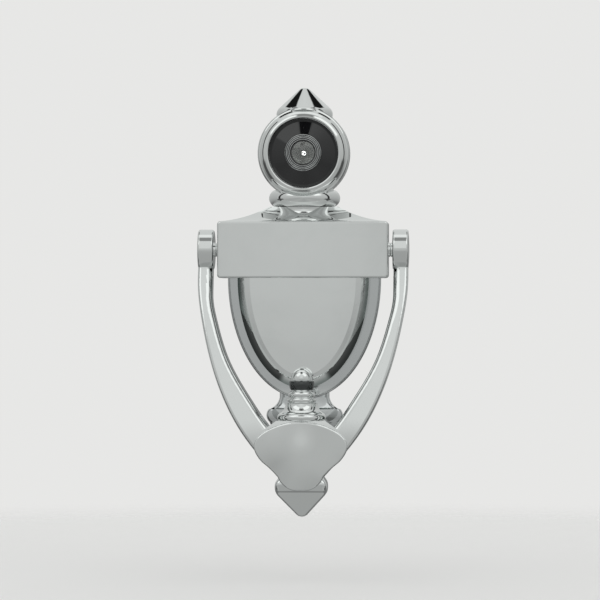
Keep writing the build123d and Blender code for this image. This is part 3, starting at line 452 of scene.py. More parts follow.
# The hairlines' tilt, how finely they lie along each axis, and their bounds of noise
HAIR_TILT, HAIR_SCALE, HAIR_BOUNDS = (0.0, 0.35, 0.0), (90.0, 90.0, 5200.0), (0.66, 0.72)


def mixed(tree, factor, first, second, blend_type="MIX"):
    """A mix of two colours, each a colour or a socket."""
    return add_node(tree, "ShaderNodeMix", {0: factor, 6: first, 7: second},
                    data_type="RGBA", blend_type=blend_type).outputs[2]


def raised(tree, value, mask, amount):
    """A value, raised by an amount where a mask is 1."""
    return maths(tree, "ADD", value, times(tree, mask, amount))


def handling_marks():
    """Roughness and tint of a polished surface with smudges and hairline scratches."""
    tree, given, out = new_group("handling_marks", [
        PLACE, ("Clean roughness", FLOAT, 0.03), ("Smudges", FLOAT, 0.05),
        ("Scratches", FLOAT, 0.04),
    ], [("Roughness", FLOAT), ("Tint", COLOR)])
    patches = noise(tree, given["Vector"], SMUDGE_SCALE, detail=4.0, roughness=0.55, distortion=0.6)
    smudge = soft_step(tree, patches, *SMUDGE_BOUNDS)
    stretched = first_output(tree, "ShaderNodeMapping", {
        "Vector": given["Vector"], "Rotation": HAIR_TILT, "Scale": HAIR_SCALE,
    })
    hairs = noise(tree, stretched, detail=2.0, roughness=0.6)
    scratch = soft_step(tree, hairs, *HAIR_BOUNDS)
    rough = raised(tree, given["Clean roughness"], smudge, given["Smudges"])
    feed(tree, out["Roughness"], raised(tree, rough, scratch, given["Scratches"]))
    feed(tree, out["Tint"], mixed(tree, smudge, CLEAN_TINT, SMUDGE_TINT))
    return tree


HANDLING_MARKS = handling_marks()
print("group:", HANDLING_MARKS.name)

# %% [markdown]
# A piece made on a lathe keeps the faint track of the tool: circles about its axis on a flat face,
# and rings along it on a cylinder. Both come from one number, the distance from the axis plus the
# distance along it. The group expects its axis along Z, so each material turns and centres it.

# %% Turning marks
# How far the noise of the rings' depth moves on from ring to ring, and its bounds for the mask
DEPTH_CHANGE, DEPTH_BOUNDS = 0.21, (0.5, 0.72)


def turning_marks():
    """Height and mask of the fine rings that a lathe leaves about the Z axis of its vector."""
    tree, given, out = new_group("turning_marks", [
        PLACE, ("Pitch", FLOAT, 0.0003), ("Unevenness", FLOAT, 0.5),
    ], [("Height", FLOAT), ("Mask", FLOAT), ("Radius", FLOAT), ("Along", FLOAT)])
    x, y, z = coordinates(tree, given["Vector"])
    radius = distance(tree, x, y)
    turns = maths(tree, "DIVIDE", maths(tree, "ADD", radius, z), given["Pitch"])
    wave = maths(tree, "SINE", times(tree, turns, math.tau))
    spot = first_output(tree, "ShaderNodeCombineXYZ", {"X": times(tree, turns, DEPTH_CHANGE)})
    depth = noise(tree, spot, detail=3.0, roughness=0.7)
    even = maths(tree, "SUBTRACT", 1.0, given["Unevenness"])
    strength = raised(tree, even, depth, given["Unevenness"])
    feed(tree, out["Height"], times(tree, wave, strength))
    feed(tree, out["Mask"], soft_step(tree, depth, *DEPTH_BOUNDS))
    feed(tree, out["Radius"], radius)
    feed(tree, out["Along"], z)
    return tree


TURNING_MARKS = turning_marks()
print("group:", TURNING_MARKS.name)

# %% [markdown]
# Where nobody looks, a casting stays as it came out of the mould: dull, with a grain like fine
# sand and a few pits. The group gives the grain's height and how dark it is.

# %% Cast skin
# How much the grain counts beside the clouds, and the clouds per metre
GRAIN_SHARE, CLOUD_SCALE = 0.6, 260.0
# The bounds of noise over which the skin turns from dark to pale, and how dark and pale
SKIN_BOUNDS, SKIN_SHADES = (0.3, 0.7), (0.55, 1.0)


def cast_skin():
    """Height and shade of an unpolished cast surface."""
    tree, given, out = new_group("cast_skin", [PLACE, ("Grains per metre", FLOAT, 1500.0)],
                                 [("Height", FLOAT), ("Shade", FLOAT)])
    grain = add_node(tree, "ShaderNodeTexVoronoi", {
        "Vector": given["Vector"], "Scale": given["Grains per metre"], "Randomness": 1.0,
    }, feature="SMOOTH_F1")
    clouds = noise(tree, given["Vector"], CLOUD_SCALE, detail=6.0, roughness=0.62)
    feed(tree, out["Height"], raised(tree, clouds, grain.outputs["Distance"], GRAIN_SHARE))
    feed(tree, out["Shade"], soft_step(tree, clouds, *SKIN_BOUNDS, *SKIN_SHADES))
    return tree


CAST_SKIN = cast_skin()
print("group:", CAST_SKIN.name)

# %% [markdown]
# The plate is cored out behind. The hollows are found by place: a box in the bar, half an
# ellipsoid's outline in the bowl, and two cylinders in the housing and the neck, each a millimetre
# larger than its room. The rim round them is flat and was ground on a belt.

# %% Hollows of the plate
# Half width, depth and half height of the bar's room, and its middle height
BAR_ROOM = (0.0366, 0.0202, 0.0114, -0.04545)
# Half width and drop of the bowl's room, its top, and its depth
BOWL_ROOM = (0.0290, 0.0498, -0.0568)
BOWL_ROOM_DEPTH = 0.0162
# Radius and depth of the housing's room
HOUSING_ROOM = (0.0198, 0.0077)
# Radius of the neck's room, and its lowest and highest place
NECK_ROOM = (0.0108, -0.0380, -0.0185)
# The ground rim lies this close to the door's face, and its normal points this much towards it
RIM_DEPTH, RIM_FACING = 0.0002, 0.5


def smaller_than(tree, value, bound):
    """1 where the size of a value is under a bound."""
    return maths(tree, "LESS_THAN", maths(tree, "ABSOLUTE", value), bound)


def in_half_ellipse(tree, x, z, half_x, drop, top, reach=1.0):
    """1 inside a half ellipse that hangs down from its top."""
    across = maths(tree, "DIVIDE", x, half_x)
    down = maths(tree, "DIVIDE", maths(tree, "SUBTRACT", z, top), drop)
    squares = [maths(tree, "POWER", side, 2.0) for side in (across, down)]
    inside = maths(tree, "LESS_THAN", maths(tree, "ADD", *squares), reach)
    return times(tree, inside, maths(tree, "LESS_THAN", z, top))


def hollow_zone():
    """Mask of the cored rooms in the plate's back, and of the ground rim round them."""
    tree, given, out = new_group("hollow_zone", [PLACE, ("Normal", VECTOR, None)],
                                 [("Hollow", FLOAT), ("Ground", FLOAT)])
    x, y, z = coordinates(tree, given["Vector"])
    half_x, depth, half_z, middle = BAR_ROOM
    bar = times(tree, smaller_than(tree, x, half_x), smaller_than(tree, y, depth),
                smaller_than(tree, maths(tree, "SUBTRACT", z, middle), half_z))
    bowl = times(tree, in_half_ellipse(tree, x, z, *BOWL_ROOM),
                 smaller_than(tree, y, BOWL_ROOM_DEPTH))
    radius, depth = HOUSING_ROOM
    housing = times(tree, smaller_than(tree, distance(tree, x, z), radius),
                    smaller_than(tree, y, depth))
    radius, low, high = NECK_ROOM
    beside = maths(tree, "SUBTRACT", z, (low + high) / 2)
    neck = times(tree, smaller_than(tree, distance(tree, x, y), radius),
                 smaller_than(tree, beside, (high - low) / 2))
    room = bar
    for other in (bowl, housing, neck):
        room = maths(tree, "MAXIMUM", room, other)
    at_back = smaller_than(tree, y, RIM_DEPTH)
    feed(tree, out["Hollow"], times(tree, room, maths(tree, "SUBTRACT", 1.0, at_back)))
    faces_door = maths(tree, "GREATER_THAN", coordinates(tree, given["Normal"])[1], RIM_FACING)
    feed(tree, out["Ground"], times(tree, at_back, faces_door))
    return tree


HOLLOW_ZONE = hollow_zone()
print("group:", HOLLOW_ZONE.name)

# %% [markdown]
# The root of the bowl, where its wall meets the flat flange, gets a dark greenish painted shade
# that stands in for the dark sides its wall mirrors, and the flange and foot behind the bail get a
# grey painted shade for the bail's shadow. Both zones are found by place: an ellipse for the bowl,
# and the depth for its wall and for the flange.

# %% Zones of the bowl
# Half width and drop of the bowl's outline, and its top; a little more than all of it is taken
BOWL_OUTLINE = (0.0308, 0.0516, -0.0587)
BOWL_REACH = 1.03
# Depth where the painted shade on the bowl's wall ends at the bevel, and where it is darkest
ROOT_DEPTHS = (-0.0176, -0.0142)
# Depths between which the flange's face lies
FLANGE_DEPTHS = (-0.0040, -0.0008)
# Heights between which the foot passes into the flange
FOOT_HEIGHTS = (-0.1165, -0.1085)


def bowl_zones():
    """Masks of the painted shade at the bowl's root and on the flange and foot round it."""
    tree, given, out = new_group("bowl_zones", [PLACE], [("Root", FLOAT), ("Flange", FLOAT)])
    x, y, z = coordinates(tree, given["Vector"])
    front, back = FLANGE_DEPTHS
    in_bowl = in_half_ellipse(tree, x, z, *BOWL_OUTLINE, BOWL_REACH)
    before_flange = maths(tree, "LESS_THAN", y, front)
    feed(tree, out["Root"], times(tree, in_bowl, before_flange, soft_step(tree, y, *ROOT_DEPTHS)))
    off_back = maths(tree, "LESS_THAN", y, back)
    below_bar = maths(tree, "LESS_THAN", z, BOWL_OUTLINE[2])
    flange = times(tree, maths(tree, "GREATER_THAN", y, front), off_back, below_bar,
                   soft_step(tree, z, *FOOT_HEIGHTS))
    foot = times(tree, soft_step(tree, z, *FOOT_HEIGHTS, 1.0, 0.0), off_back)
    feed(tree, out["Flange"], maths(tree, "MAXIMUM", flange, foot))
    return tree


BOWL_ZONES = bowl_zones()
print("group:", BOWL_ZONES.name)

# %% [markdown]
# The plate and the bail are castings, ground, polished and chrome plated. Chrome is a nearly
# white mirror, so most of the finish is waviness and handling marks. The plate's back and its
# hollows weren't polished: there the plating is dull over the cast grain.

# %% Cast chrome
CHROME = (0.80, 0.812, 0.808)
# Painted shade: a dark greenish tint at the bowl's root, for the dark sides its wall mirrors
ROOT_PAINTED_SHADE = (0.31, 0.345, 0.335, 1.0)
# Painted shade: a grey tint on the flange and foot behind the bail, for the bail's shadow
FLANGE_PAINTED_SHADE = (0.60, 0.615, 0.62, 1.0)
# Shades of the cast skin, in its pits and on its grains
SKIN_DARK, SKIN_PALE = (0.30, 0.30, 0.30, 1.0), (0.56, 0.57, 0.57, 1.0)
# How much rougher the flange, the hollows and the ground rim are than polished faces
FLANGE_DULL, HOLLOW_DULL, GROUND_DULL = 0.06, 0.42, 0.20
# Heights of the polishing waves on plate and bail, of the cast grain, and of the belt's lines
PLATE_WAVES, BAIL_WAVES, GRAIN_HEIGHT, BELT_HEIGHT = 0.00006, 0.000012, 0.00025, 0.00003
BELT_SCALE = (4200.0, 60.0, 60.0)


def bumped(tree, height, depth, base=None):
    """A normal from a height, on top of another normal if one is given."""
    inputs = {"Height": height, "Strength": 1.0, "Distance": depth}
    if base is not None:
        inputs["Normal"] = base
    return add_node(tree, "ShaderNodeBump", inputs).outputs["Normal"]


def plate_zones(tree, place, color, rough, normal):
    """Painted shade at the bowl's root and on the flange, a rougher flange, and the unpolished
    hollows and ground rim.
    """
    here = place["Object"]
    reach = use_group(tree, BOWL_ZONES, {"Vector": here})
    # Painted shade at the bowl's root and on the flange and foot behind the bail
    color = mixed(tree, reach["Root"], color, ROOT_PAINTED_SHADE)
    color = mixed(tree, reach["Flange"], color, FLANGE_PAINTED_SHADE)
    rough = raised(tree, rough, reach["Flange"], FLANGE_DULL)
    zone = use_group(tree, HOLLOW_ZONE, {"Vector": here, "Normal": place["Normal"]})
    skin = use_group(tree, CAST_SKIN, {"Vector": here, "Grains per metre": 1500.0})
    hollow, ground = zone["Hollow"], zone["Ground"]
    color = mixed(tree, hollow, color, mixed(tree, skin["Shade"], SKIN_DARK, SKIN_PALE))
    rough = raised(tree, rough, hollow, HOLLOW_DULL)
    rough = raised(tree, rough, ground, GROUND_DULL)
    normal = bumped(tree, times(tree, skin["Height"], hollow), GRAIN_HEIGHT, normal)
    belt = first_output(tree, "ShaderNodeMapping", {"Vector": here, "Scale": BELT_SCALE})
    lines = times(tree, noise(tree, belt, detail=3.0), ground)
    return color, rough, bumped(tree, lines, BELT_HEIGHT, normal)


def cast_chrome(name, wave_height, is_plate):
    """Polished chrome on a casting, and the plate's other zones if it is the plate."""
    material, tree = principled(name, CHROME, metallic=1.0, roughness=0.03)
    place = add_node(tree, "ShaderNodeTexCoord").outputs
    here = place["Object"]
    waves = use_group(tree, POLISH_WAVES, {
        "Vector": here, "Waves per metre": 48.0, "Fine share": 0.05,
    })
    marks = use_group(tree, HANDLING_MARKS, {
        "Vector": here, "Clean roughness": 0.035, "Smudges": 0.035, "Scratches": 0.03,
    })
    color = mixed(tree, 1.0, (*CHROME, 1.0), marks["Tint"], "MULTIPLY")
    rough, normal = marks["Roughness"], bumped(tree, waves["Height"], wave_height)
    if is_plate:
        color, rough, normal = plate_zones(tree, place, color, rough, normal)
    return finished(material, Base_Color=color, Roughness=rough, Normal=normal)


finishes = {
    "urn_plate": cast_chrome("chrome_plate", PLATE_WAVES, is_plate=True),
    "bail": cast_chrome("chrome_bail", BAIL_WAVES, is_plate=False),
}
print("cast finishes:", sorted(finishes))

# %% [markdown]
# The viewer's ring, the acorn, the collars, the stud and the eyepiece are turned and then
# polished, so their rings are barely there. Each material turns the marks' axis to the piece's own.
# The cup under the acorn's cap gets a near-black painted shade and is rougher. The thread on the
# eyepiece's tube is a saw tooth that climbs with the angle; a ridge laid on the tube later gives it
# its real outline.

# %% Helpers for turned pieces
# Pitch and radius of the thread on the eyepiece's tube, and where it ends before the flange
TUBE_PITCH, TUBE_RADIUS, TUBE_THREAD_END = 0.00075, 0.0060, 0.0430
# How far from that radius a place may lie and still be on the tube
TUBE_PLAY = 0.0002
# Turns that bring a piece's own axis onto the marks' Z axis
AXIS_TURN = {"x": (0.0, -math.pi / 2, 0.0), "y": (math.pi / 2, 0.0, 0.0), "z": (0.0, 0.0, 0.0)}


def centred(tree, here, centre, axis):
    """A piece's coordinates, centred and turned so that its axis is Z."""
    moved = first_output(tree, "ShaderNodeVectorMath", {0: here, 1: centre}, operation="SUBTRACT")
    return first_output(tree, "ShaderNodeMapping", {"Vector": moved, "Rotation": AXIS_TURN[axis]})


def tool_rings(tree, here, centre, axis, pitch, unevenness):
    """The turning marks about a piece's own axis."""
    return use_group(tree, TURNING_MARKS, {
        "Vector": centred(tree, here, centre, axis), "Pitch": pitch, "Unevenness": unevenness,
    })


def thread_height(tree, vector, rings):
    """Height of the fine thread on the eyepiece's tube."""
    x, y, _ = coordinates(tree, vector)
    turns = maths(tree, "DIVIDE", maths(tree, "ARCTAN2", y, x), math.tau)
    climbed = maths(tree, "ADD", maths(tree, "DIVIDE", rings["Along"], TUBE_PITCH), turns)
    on_tube = smaller_than(tree, maths(tree, "SUBTRACT", rings["Radius"], TUBE_RADIUS), TUBE_PLAY)
    before_flange = maths(tree, "LESS_THAN", rings["Along"], TUBE_THREAD_END)
    return times(tree, maths(tree, "PINGPONG", climbed, 0.5), on_tube, before_flange)


print("axes that a piece can have:", sorted(AXIS_TURN))

# %% Turned chrome
# The recess under the acorn's cap: lowest and highest place, softness of its ends, and the tint of
# its painted shade
ACORN_CUP = (0.0140, 0.0184, 0.0003)
RECESS_PAINTED_SHADE = (0.09, 0.095, 0.095, 1.0)
# How much rougher the recess and the deeper rings are, and the height of the tube's thread
RECESS_DULL, RING_DULL, TUBE_THREAD_HEIGHT = 0.08, 0.025, 0.0004
TURNED_WAVES = 0.00001


def turned_chrome(name, centre, axis, pitch=0.00022, depth=0.0000004, roughness=0.04,
                  recess=None, threaded=False):
    """Polished chrome on turned metal, with a painted shade in a recess between two heights, or
    with a thread.
    """
    material, tree = principled(name, CHROME, metallic=1.0, roughness=roughness)
    here = object_place(tree)
    rings = tool_rings(tree, here, centre, axis, pitch, unevenness=0.8)
    marks = use_group(tree, HANDLING_MARKS, {
        "Vector": here, "Clean roughness": roughness, "Smudges": 0.05, "Scratches": 0.02,
    })
    waves = use_group(tree, POLISH_WAVES, {
        "Vector": here, "Waves per metre": 90.0, "Fine share": 0.1,
    })
    color = mixed(tree, 1.0, (*CHROME, 1.0), marks["Tint"], "MULTIPLY")
    rough = raised(tree, marks["Roughness"], rings["Mask"], RING_DULL)
    if recess is not None:
        low, high, soft = recess
        inside = times(tree, soft_step(tree, rings["Along"], low - soft, low + soft),
                       soft_step(tree, rings["Along"], high - soft, high + soft, 1.0, 0.0))
        # Painted shade in the recess
        color = mixed(tree, inside, color, RECESS_PAINTED_SHADE)
        rough = raised(tree, rough, inside, RECESS_DULL)
    normal = bumped(tree, waves["Height"], TURNED_WAVES)
    normal = bumped(tree, rings["Height"], depth, normal)
    if threaded:
        thread = thread_height(tree, centred(tree, here, centre, axis), rings)
        normal = bumped(tree, thread, TUBE_THREAD_HEIGHT, normal)
    return finished(material, Base_Color=color, Roughness=rough, Normal=normal)


print("wave height on turned pieces:", TURNED_WAVES)

# %% Turned finishes
VIEWER_CENTRE = (0.0, 0.0, 0.0)
ACORN_CENTRE = (0.0, -0.027, -0.12485)
PIVOT_CENTRE = (0.0, -0.0115, -0.04545)
STRIKE_CENTRE = (0.0, 0.0, -0.1310)
# The two fixing screws are one piece with one finish, whose marks are centred midway
SCREW_HEIGHTS = (-0.040, -0.102)
SCREWS_CENTRE = (0.0, 0.0, sum(SCREW_HEIGHTS) / 2)
turned = {
    "viewer_ring": turned_chrome("chrome_ring", VIEWER_CENTRE, "y"),
    "acorn_finial": turned_chrome("chrome_acorn", ACORN_CENTRE, "z", recess=ACORN_CUP),
    "strike_stud": turned_chrome("chrome_stud", STRIKE_CENTRE, "y"),
    "eyepiece_barrel": turned_chrome("chrome_eyepiece", VIEWER_CENTRE, "y", pitch=0.00035,
                                     depth=0.000002, roughness=0.07, threaded=True),
    "cup_washers": turned_chrome("chrome_washers", SCREWS_CENTRE, "y", pitch=0.0003,
                                 depth=0.000001, roughness=0.06),
    "pivot_collar_left": turned_chrome("chrome_collars", PIVOT_CENTRE, "x"),
}
turned["pivot_collar_right"] = turned["pivot_collar_left"]
finishes.update(turned)
print("turned finishes:", len(turned))

# %% [markdown]
# The cone round the lens is glossy black. Paint or moulded plastic like this is never quite even:
# it has a faint orange peel, and a few specks of dust catch the light.

# %% Black gloss
GLOSS_BLACK = (0.008, 0.008, 0.009)
DUST = (0.10, 0.10, 0.095, 1.0)
# Specks of dust per metre, and the share of their spacing that each takes up
DUST_SCALE, DUST_SIZE = 420.0, 0.045
PEEL_SCALE, PEEL_HEIGHT = 700.0, 0.000004


def black_gloss():
    """Glossy black with a faint orange peel and dust."""
    material, tree = principled("gloss_black", GLOSS_BLACK, metallic=0.0, roughness=0.07, IOR=1.62)
    here = object_place(tree)
    peel = noise(tree, here, PEEL_SCALE)
    marks = use_group(tree, HANDLING_MARKS, {
        "Vector": here, "Clean roughness": 0.06, "Smudges": 0.08, "Scratches": 0.03,
    })
    specks = add_node(tree, "ShaderNodeTexVoronoi", {"Vector": here, "Scale": DUST_SCALE})
    dust = maths(tree, "LESS_THAN", specks.outputs["Distance"], DUST_SIZE)
    color = mixed(tree, dust, (*GLOSS_BLACK, 1.0), DUST)
    return finished(material, Base_Color=color, Roughness=marks["Roughness"],
                    Normal=bumped(tree, peel, PEEL_HEIGHT))


finishes["lens_surround"] = black_gloss()
print("black cone:", finishes["lens_surround"].name)

# %% [markdown]
# The viewer's front flange is darkened metal, turned into fine rings that catch the light as thin
# circles; its tube, out of sight in the door, is satin plated. One material holds both, and the
# place along the axis says which shows. The flange's outer edge, its inner lip and the crests on
# its face get a pale painted highlight.

# %% Barrel metal
# Radii of the flange's edge and of its inner lip, and the depths of its face and of the tube
FLANGE_EDGE_RADIUS, LIP_RADIUS = 0.0084, 0.0063
FLANGE_FACE, TUBE_STARTS = -0.01643, -0.0140
# How wide the painted highlights on the edges fade
EDGE_FADE = 0.0001
# Roughness of the barrel, how much the deeper rings and the tube add, and the height of its rings
BARREL_ROUGH, BARREL_RING_DULL, TUBE_DULL = 0.12, 0.12, 0.12
BARREL_RING_HEIGHT, FINE_RING_HEIGHT = 0.000003, 0.0000006
# Dark metal between the rings and on them, the painted highlight, and two shades of the satin
# plating
FLANGE_DARK, FLANGE_RINGED = (0.06, 0.063, 0.065, 1.0), (0.20, 0.21, 0.215, 1.0)
EDGE_PAINTED_HIGHLIGHT = (0.62, 0.63, 0.63, 1.0)
SATIN_PALE, SATIN_DARK = (0.54, 0.545, 0.55, 1.0), (0.46, 0.465, 0.47, 1.0)


def barrel_metal():
    """Dark turned flange with painted highlights on its edges in front, satin tube behind."""
    material, tree = principled("metal_barrel", (0.5, 0.51, 0.52), metallic=1.0, roughness=0.2)
    here = object_place(tree)
    rings = tool_rings(tree, here, VIEWER_CENTRE, "y", pitch=0.00045, unevenness=0.7)
    fine = tool_rings(tree, here, VIEWER_CENTRE, "y", pitch=0.00016, unevenness=0.6)
    radius, mask = rings["Radius"], rings["Mask"]
    depth = coordinates(tree, here)[1]
    behind = maths(tree, "GREATER_THAN", depth, TUBE_STARTS)
    outer = soft_step(tree, radius, FLANGE_EDGE_RADIUS - 2 * EDGE_FADE,
                      FLANGE_EDGE_RADIUS + EDGE_FADE)
    inner = soft_step(tree, radius, LIP_RADIUS - EDGE_FADE, LIP_RADIUS + EDGE_FADE, 1.0, 0.0)
    crest = maths(tree, "LESS_THAN", depth, FLANGE_FACE)
    edge = maths(tree, "MAXIMUM", maths(tree, "MAXIMUM", outer, inner), crest)
    # Painted highlight on the flange's outer edge, inner lip and crests
    front = mixed(tree, edge, mixed(tree, mask, FLANGE_DARK, FLANGE_RINGED), EDGE_PAINTED_HIGHLIGHT)
    satin = mixed(tree, fine["Mask"], SATIN_PALE, SATIN_DARK)
    rough = raised(tree, raised(tree, BARREL_ROUGH, mask, BARREL_RING_DULL), behind, TUBE_DULL)
    normal = bumped(tree, rings["Height"], BARREL_RING_HEIGHT)
    normal = bumped(tree, fine["Height"], FINE_RING_HEIGHT, normal)
    color = mixed(tree, behind, front, satin)
    return finished(material, Base_Color=color, Roughness=rough, Normal=normal)


finishes["outer_barrel"] = barrel_metal()
print("barrel:", finishes["outer_barrel"].name)

# %% [markdown]
# The lenses are clear glass. Their rims are ground and blackened, so that only the middle lets
# light through: the room behind shows in the front lens as one small bright spot, as it does in
# any wide angle viewer. Glass keeps plain Metallic and Transmission values; only its colour varies.

# %% Lens glass
CLEAR = (0.97, 0.985, 0.975, 1.0)
# Each lens: material, radius of its clear middle, width of the rim's fade, rim, height of its rings
LENSES = {
    "objective_lens": ("glass_front", 0.0060, 0.0004, (0.45, 0.46, 0.46, 1.0), 0.000001),
    "middle_lens": ("glass_middle", 0.0011, 0.0005, (0.02, 0.02, 0.022, 1.0), 0.000001),
    "eye_lens": ("glass_eye", 0.0040, 0.0003, (0.3, 0.3, 0.3, 1.0), 0.0),
}


def lens_glass(name, clear_radius, edge_width, rim_color, ring_height):
    """Clear glass with a blackened rim outside a radius, about the viewer's axis."""
    material, tree = principled(name, WHITE, metallic=0.0, roughness=0.0,
                                Transmission_Weight=1.0, IOR=1.52)
    here = object_place(tree)
    rings = tool_rings(tree, here, VIEWER_CENTRE, "y", pitch=0.0011, unevenness=0.6)
    rim = soft_step(tree, rings["Radius"], clear_radius, clear_radius + edge_width)
    return finished(material, Base_Color=mixed(tree, rim, CLEAR, rim_color),
                    Normal=bumped(tree, rings["Height"], ring_height))


for lens, values in LENSES.items():
    finishes[lens] = lens_glass(*values)
print("lenses:", len(LENSES))

# %% [markdown]
# Inside the viewer everything is blackened against stray light. The lacquer is matt and slightly
# grainy, and the tool's rings show through it. On the baffles behind the front lens it is worn.

# %% Black lacquer inside
# Grains of the lacquer per metre, their height, that of the rings, and how much the grain dulls it
LACQUER_SCALE, LACQUER_GRAIN, LACQUER_RINGS, LACQUER_DULL = 3000.0, 0.000003, 0.000004, 0.2


def black_matte(name, metallic, pale, roughness):
    """Black lacquer over turned metal, as dark or as pale and worn as wanted."""
    material, tree = principled(name, (0.02, 0.02, 0.02), metallic, roughness)
    here = object_place(tree)
    rings = tool_rings(tree, here, VIEWER_CENTRE, "y", pitch=0.0004, unevenness=0.5)
    grain = noise(tree, here, LACQUER_SCALE, detail=2.0)
    dark = pale / 2
    color = mixed(tree, grain, (dark, dark, dark, 1.0), (pale, pale, pale * 0.98, 1.0))
    rough = raised(tree, roughness, grain, LACQUER_DULL)
    normal = bumped(tree, grain, LACQUER_GRAIN, bumped(tree, rings["Height"], LACQUER_RINGS))
    return finished(material, Base_Color=color, Roughness=rough, Normal=normal)


lacquer = black_matte("matte_black", metallic=0.0, pale=0.03, roughness=0.38)
worn_lacquer = black_matte("worn_baffles", metallic=1.0, pale=0.42, roughness=0.16)
for node in ("lens_spacer", "lens_ring", "eye_lens_ring"):
    finishes[node] = lacquer
print("lacquer:", lacquer.name, "and", worn_lacquer.name)

# %% [markdown]
# The screws and pins are plain turned steel, zinc plated: greyer than chrome, with clear tool
# rings and a cloudy sheen.

# %% Steel
# Clouds of the zinc per metre, their bounds of noise, and its two shades
ZINC_SCALE, ZINC_BOUNDS = 220.0, (0.35, 0.65)
ZINC_DARK, ZINC_PALE = (0.50, 0.51, 0.52, 1.0), (0.60, 0.605, 0.60, 1.0)
# Roughness of the steel, how much the deeper rings add, and the height of the rings
STEEL_ROUGH, STEEL_DULL, STEEL_RINGS = 0.20, 0.14, 0.000004


def turned_steel(name, centre, axis):
    """Zinc plated turned steel."""
    material, tree = principled(name, (0.56, 0.57, 0.58), metallic=1.0, roughness=0.25)
    here = object_place(tree)
    rings = tool_rings(tree, here, centre, axis, pitch=0.00025, unevenness=0.6)
    zinc = soft_step(tree, noise(tree, here, ZINC_SCALE, detail=4.0), *ZINC_BOUNDS)
    rough = raised(tree, STEEL_ROUGH, rings["Mask"], STEEL_DULL)
    return finished(material, Base_Color=mixed(tree, zinc, ZINC_DARK, ZINC_PALE), Roughness=rough,
                    Normal=bumped(tree, rings["Height"], STEEL_RINGS))


finishes["fixing_screws"] = turned_steel("steel_screws", SCREWS_CENTRE, "y")
finishes["pivot_pin_left"] = turned_steel("steel_pins", PIVOT_CENTRE, "x")
finishes["pivot_pin_right"] = finishes["pivot_pin_left"]
print("finishes for nodes:", len(finishes))

# %% [markdown]
# Now every node of the frame gets its finish. The meshes stay as they are.

# %% Finish the nodes
for name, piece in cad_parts.items():
    piece.data.materials.clear()
    piece.data.materials.append(finishes[name])
print("finished nodes:", len(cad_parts))

# %% [markdown]
# A thread is one ridge wound many times round a shank, which is a rule and not a shape to draw.
# Geometry Nodes wind a spiral, sweep a small round section along it, and repeat it at each screw.
# The ridge stands half in the shank, as a rolled thread's crest does. Each size is a named input,
# so the same tree also winds the fine thread on the eyepiece's tube, whose crests stand only a
# twentieth of a millimetre proud, because the tube screws in and out of the barrel round it.

# %% Geometry Nodes helpers
INT, GEOMETRY, MATERIAL = "NodeSocketInt", "NodeSocketGeometry", "NodeSocketMaterial"
# Points of a grown mesh that lie closer than this are one point
SAME_PLACE = 1e-7
# The turn that lays the Z axis onto Y, and the corners round a thread's ridge and a ring's wire
ONTO_Y = (-math.pi / 2, 0.0, 0.0)
RIDGE_SIDES, WIRE_SIDES = 6, 8


def new_geometry_tree(name, inputs):
    """A Geometry Nodes tree that takes sizes and a material, and puts out geometry."""
    taken = [("Geometry", GEOMETRY, None), *inputs, ("Material", MATERIAL, None)]
    return new_group(name, taken, [("Geometry", GEOMETRY)], "GeometryNodeTree")


def combine(tree, **parts):
    """A vector from its X, Y or Z."""
    return first_output(tree, "ShaderNodeCombineXYZ", parts)


def swept(tree, curve, sides, radius, start):
    """A round section swept along a curve about Z, which is then laid about Y from its start."""
    circle = {"Resolution": sides, "Radius": radius}
    section = first_output(tree, "GeometryNodeCurvePrimitiveCircle", circle)
    sweep = {"Curve": curve, "Profile Curve": section, "Fill Caps": True}
    return first_output(tree, "GeometryNodeTransform", {
        "Geometry": first_output(tree, "GeometryNodeCurveToMesh", sweep),
        "Translation": combine(tree, Y=start), "Rotation": ONTO_Y,
    })


def made_real(tree, geometry, given, out):
    """End a tree: instances become a plain mesh with the material that the tree is given."""
    real = first_output(tree, "GeometryNodeRealizeInstances", {"Geometry": geometry})
    finish = {"Geometry": real, "Material": given["Material"]}
    feed(tree, out["Geometry"], first_output(tree, "GeometryNodeSetMaterial", finish))


def grow(name, tree, values, material, body):
    """Run a Geometry Nodes tree, keep its result as one plain mesh, and let it ride on a body."""
    piece = bpy.data.objects.new(name, bpy.data.meshes.new(name))
    bpy.context.scene.collection.objects.link(piece)
    modifier = piece.modifiers.new("grow", "NODES")
    modifier.node_group = tree
    items = tree.interface.items_tree
    sockets = {item.name: item.identifier for item in items if item.in_out == "INPUT"}
    for label, value in values.items():
        modifier[sockets[label]] = value
    modifier[sockets["Material"]] = material
    bpy.context.view_layer.update()
    graph = bpy.context.evaluated_depsgraph_get()
    mesh = bpy.data.meshes.new_from_object(piece.evaluated_get(graph), depsgraph=graph,
                                           preserve_all_data_layers=True)
    piece.modifiers.clear()
    piece.data = mesh
    shape = bmesh.new()
    shape.from_mesh(mesh)
    bmesh.ops.remove_doubles(shape, verts=shape.verts, dist=SAME_PLACE)
    bmesh.ops.recalc_face_normals(shape, faces=shape.faces)
    for face in shape.faces:
        face.smooth = True
    shape.to_mesh(mesh)
    shape.free()
    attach(piece, body)
    return piece


print("more socket kinds:", INT, GEOMETRY, MATERIAL)

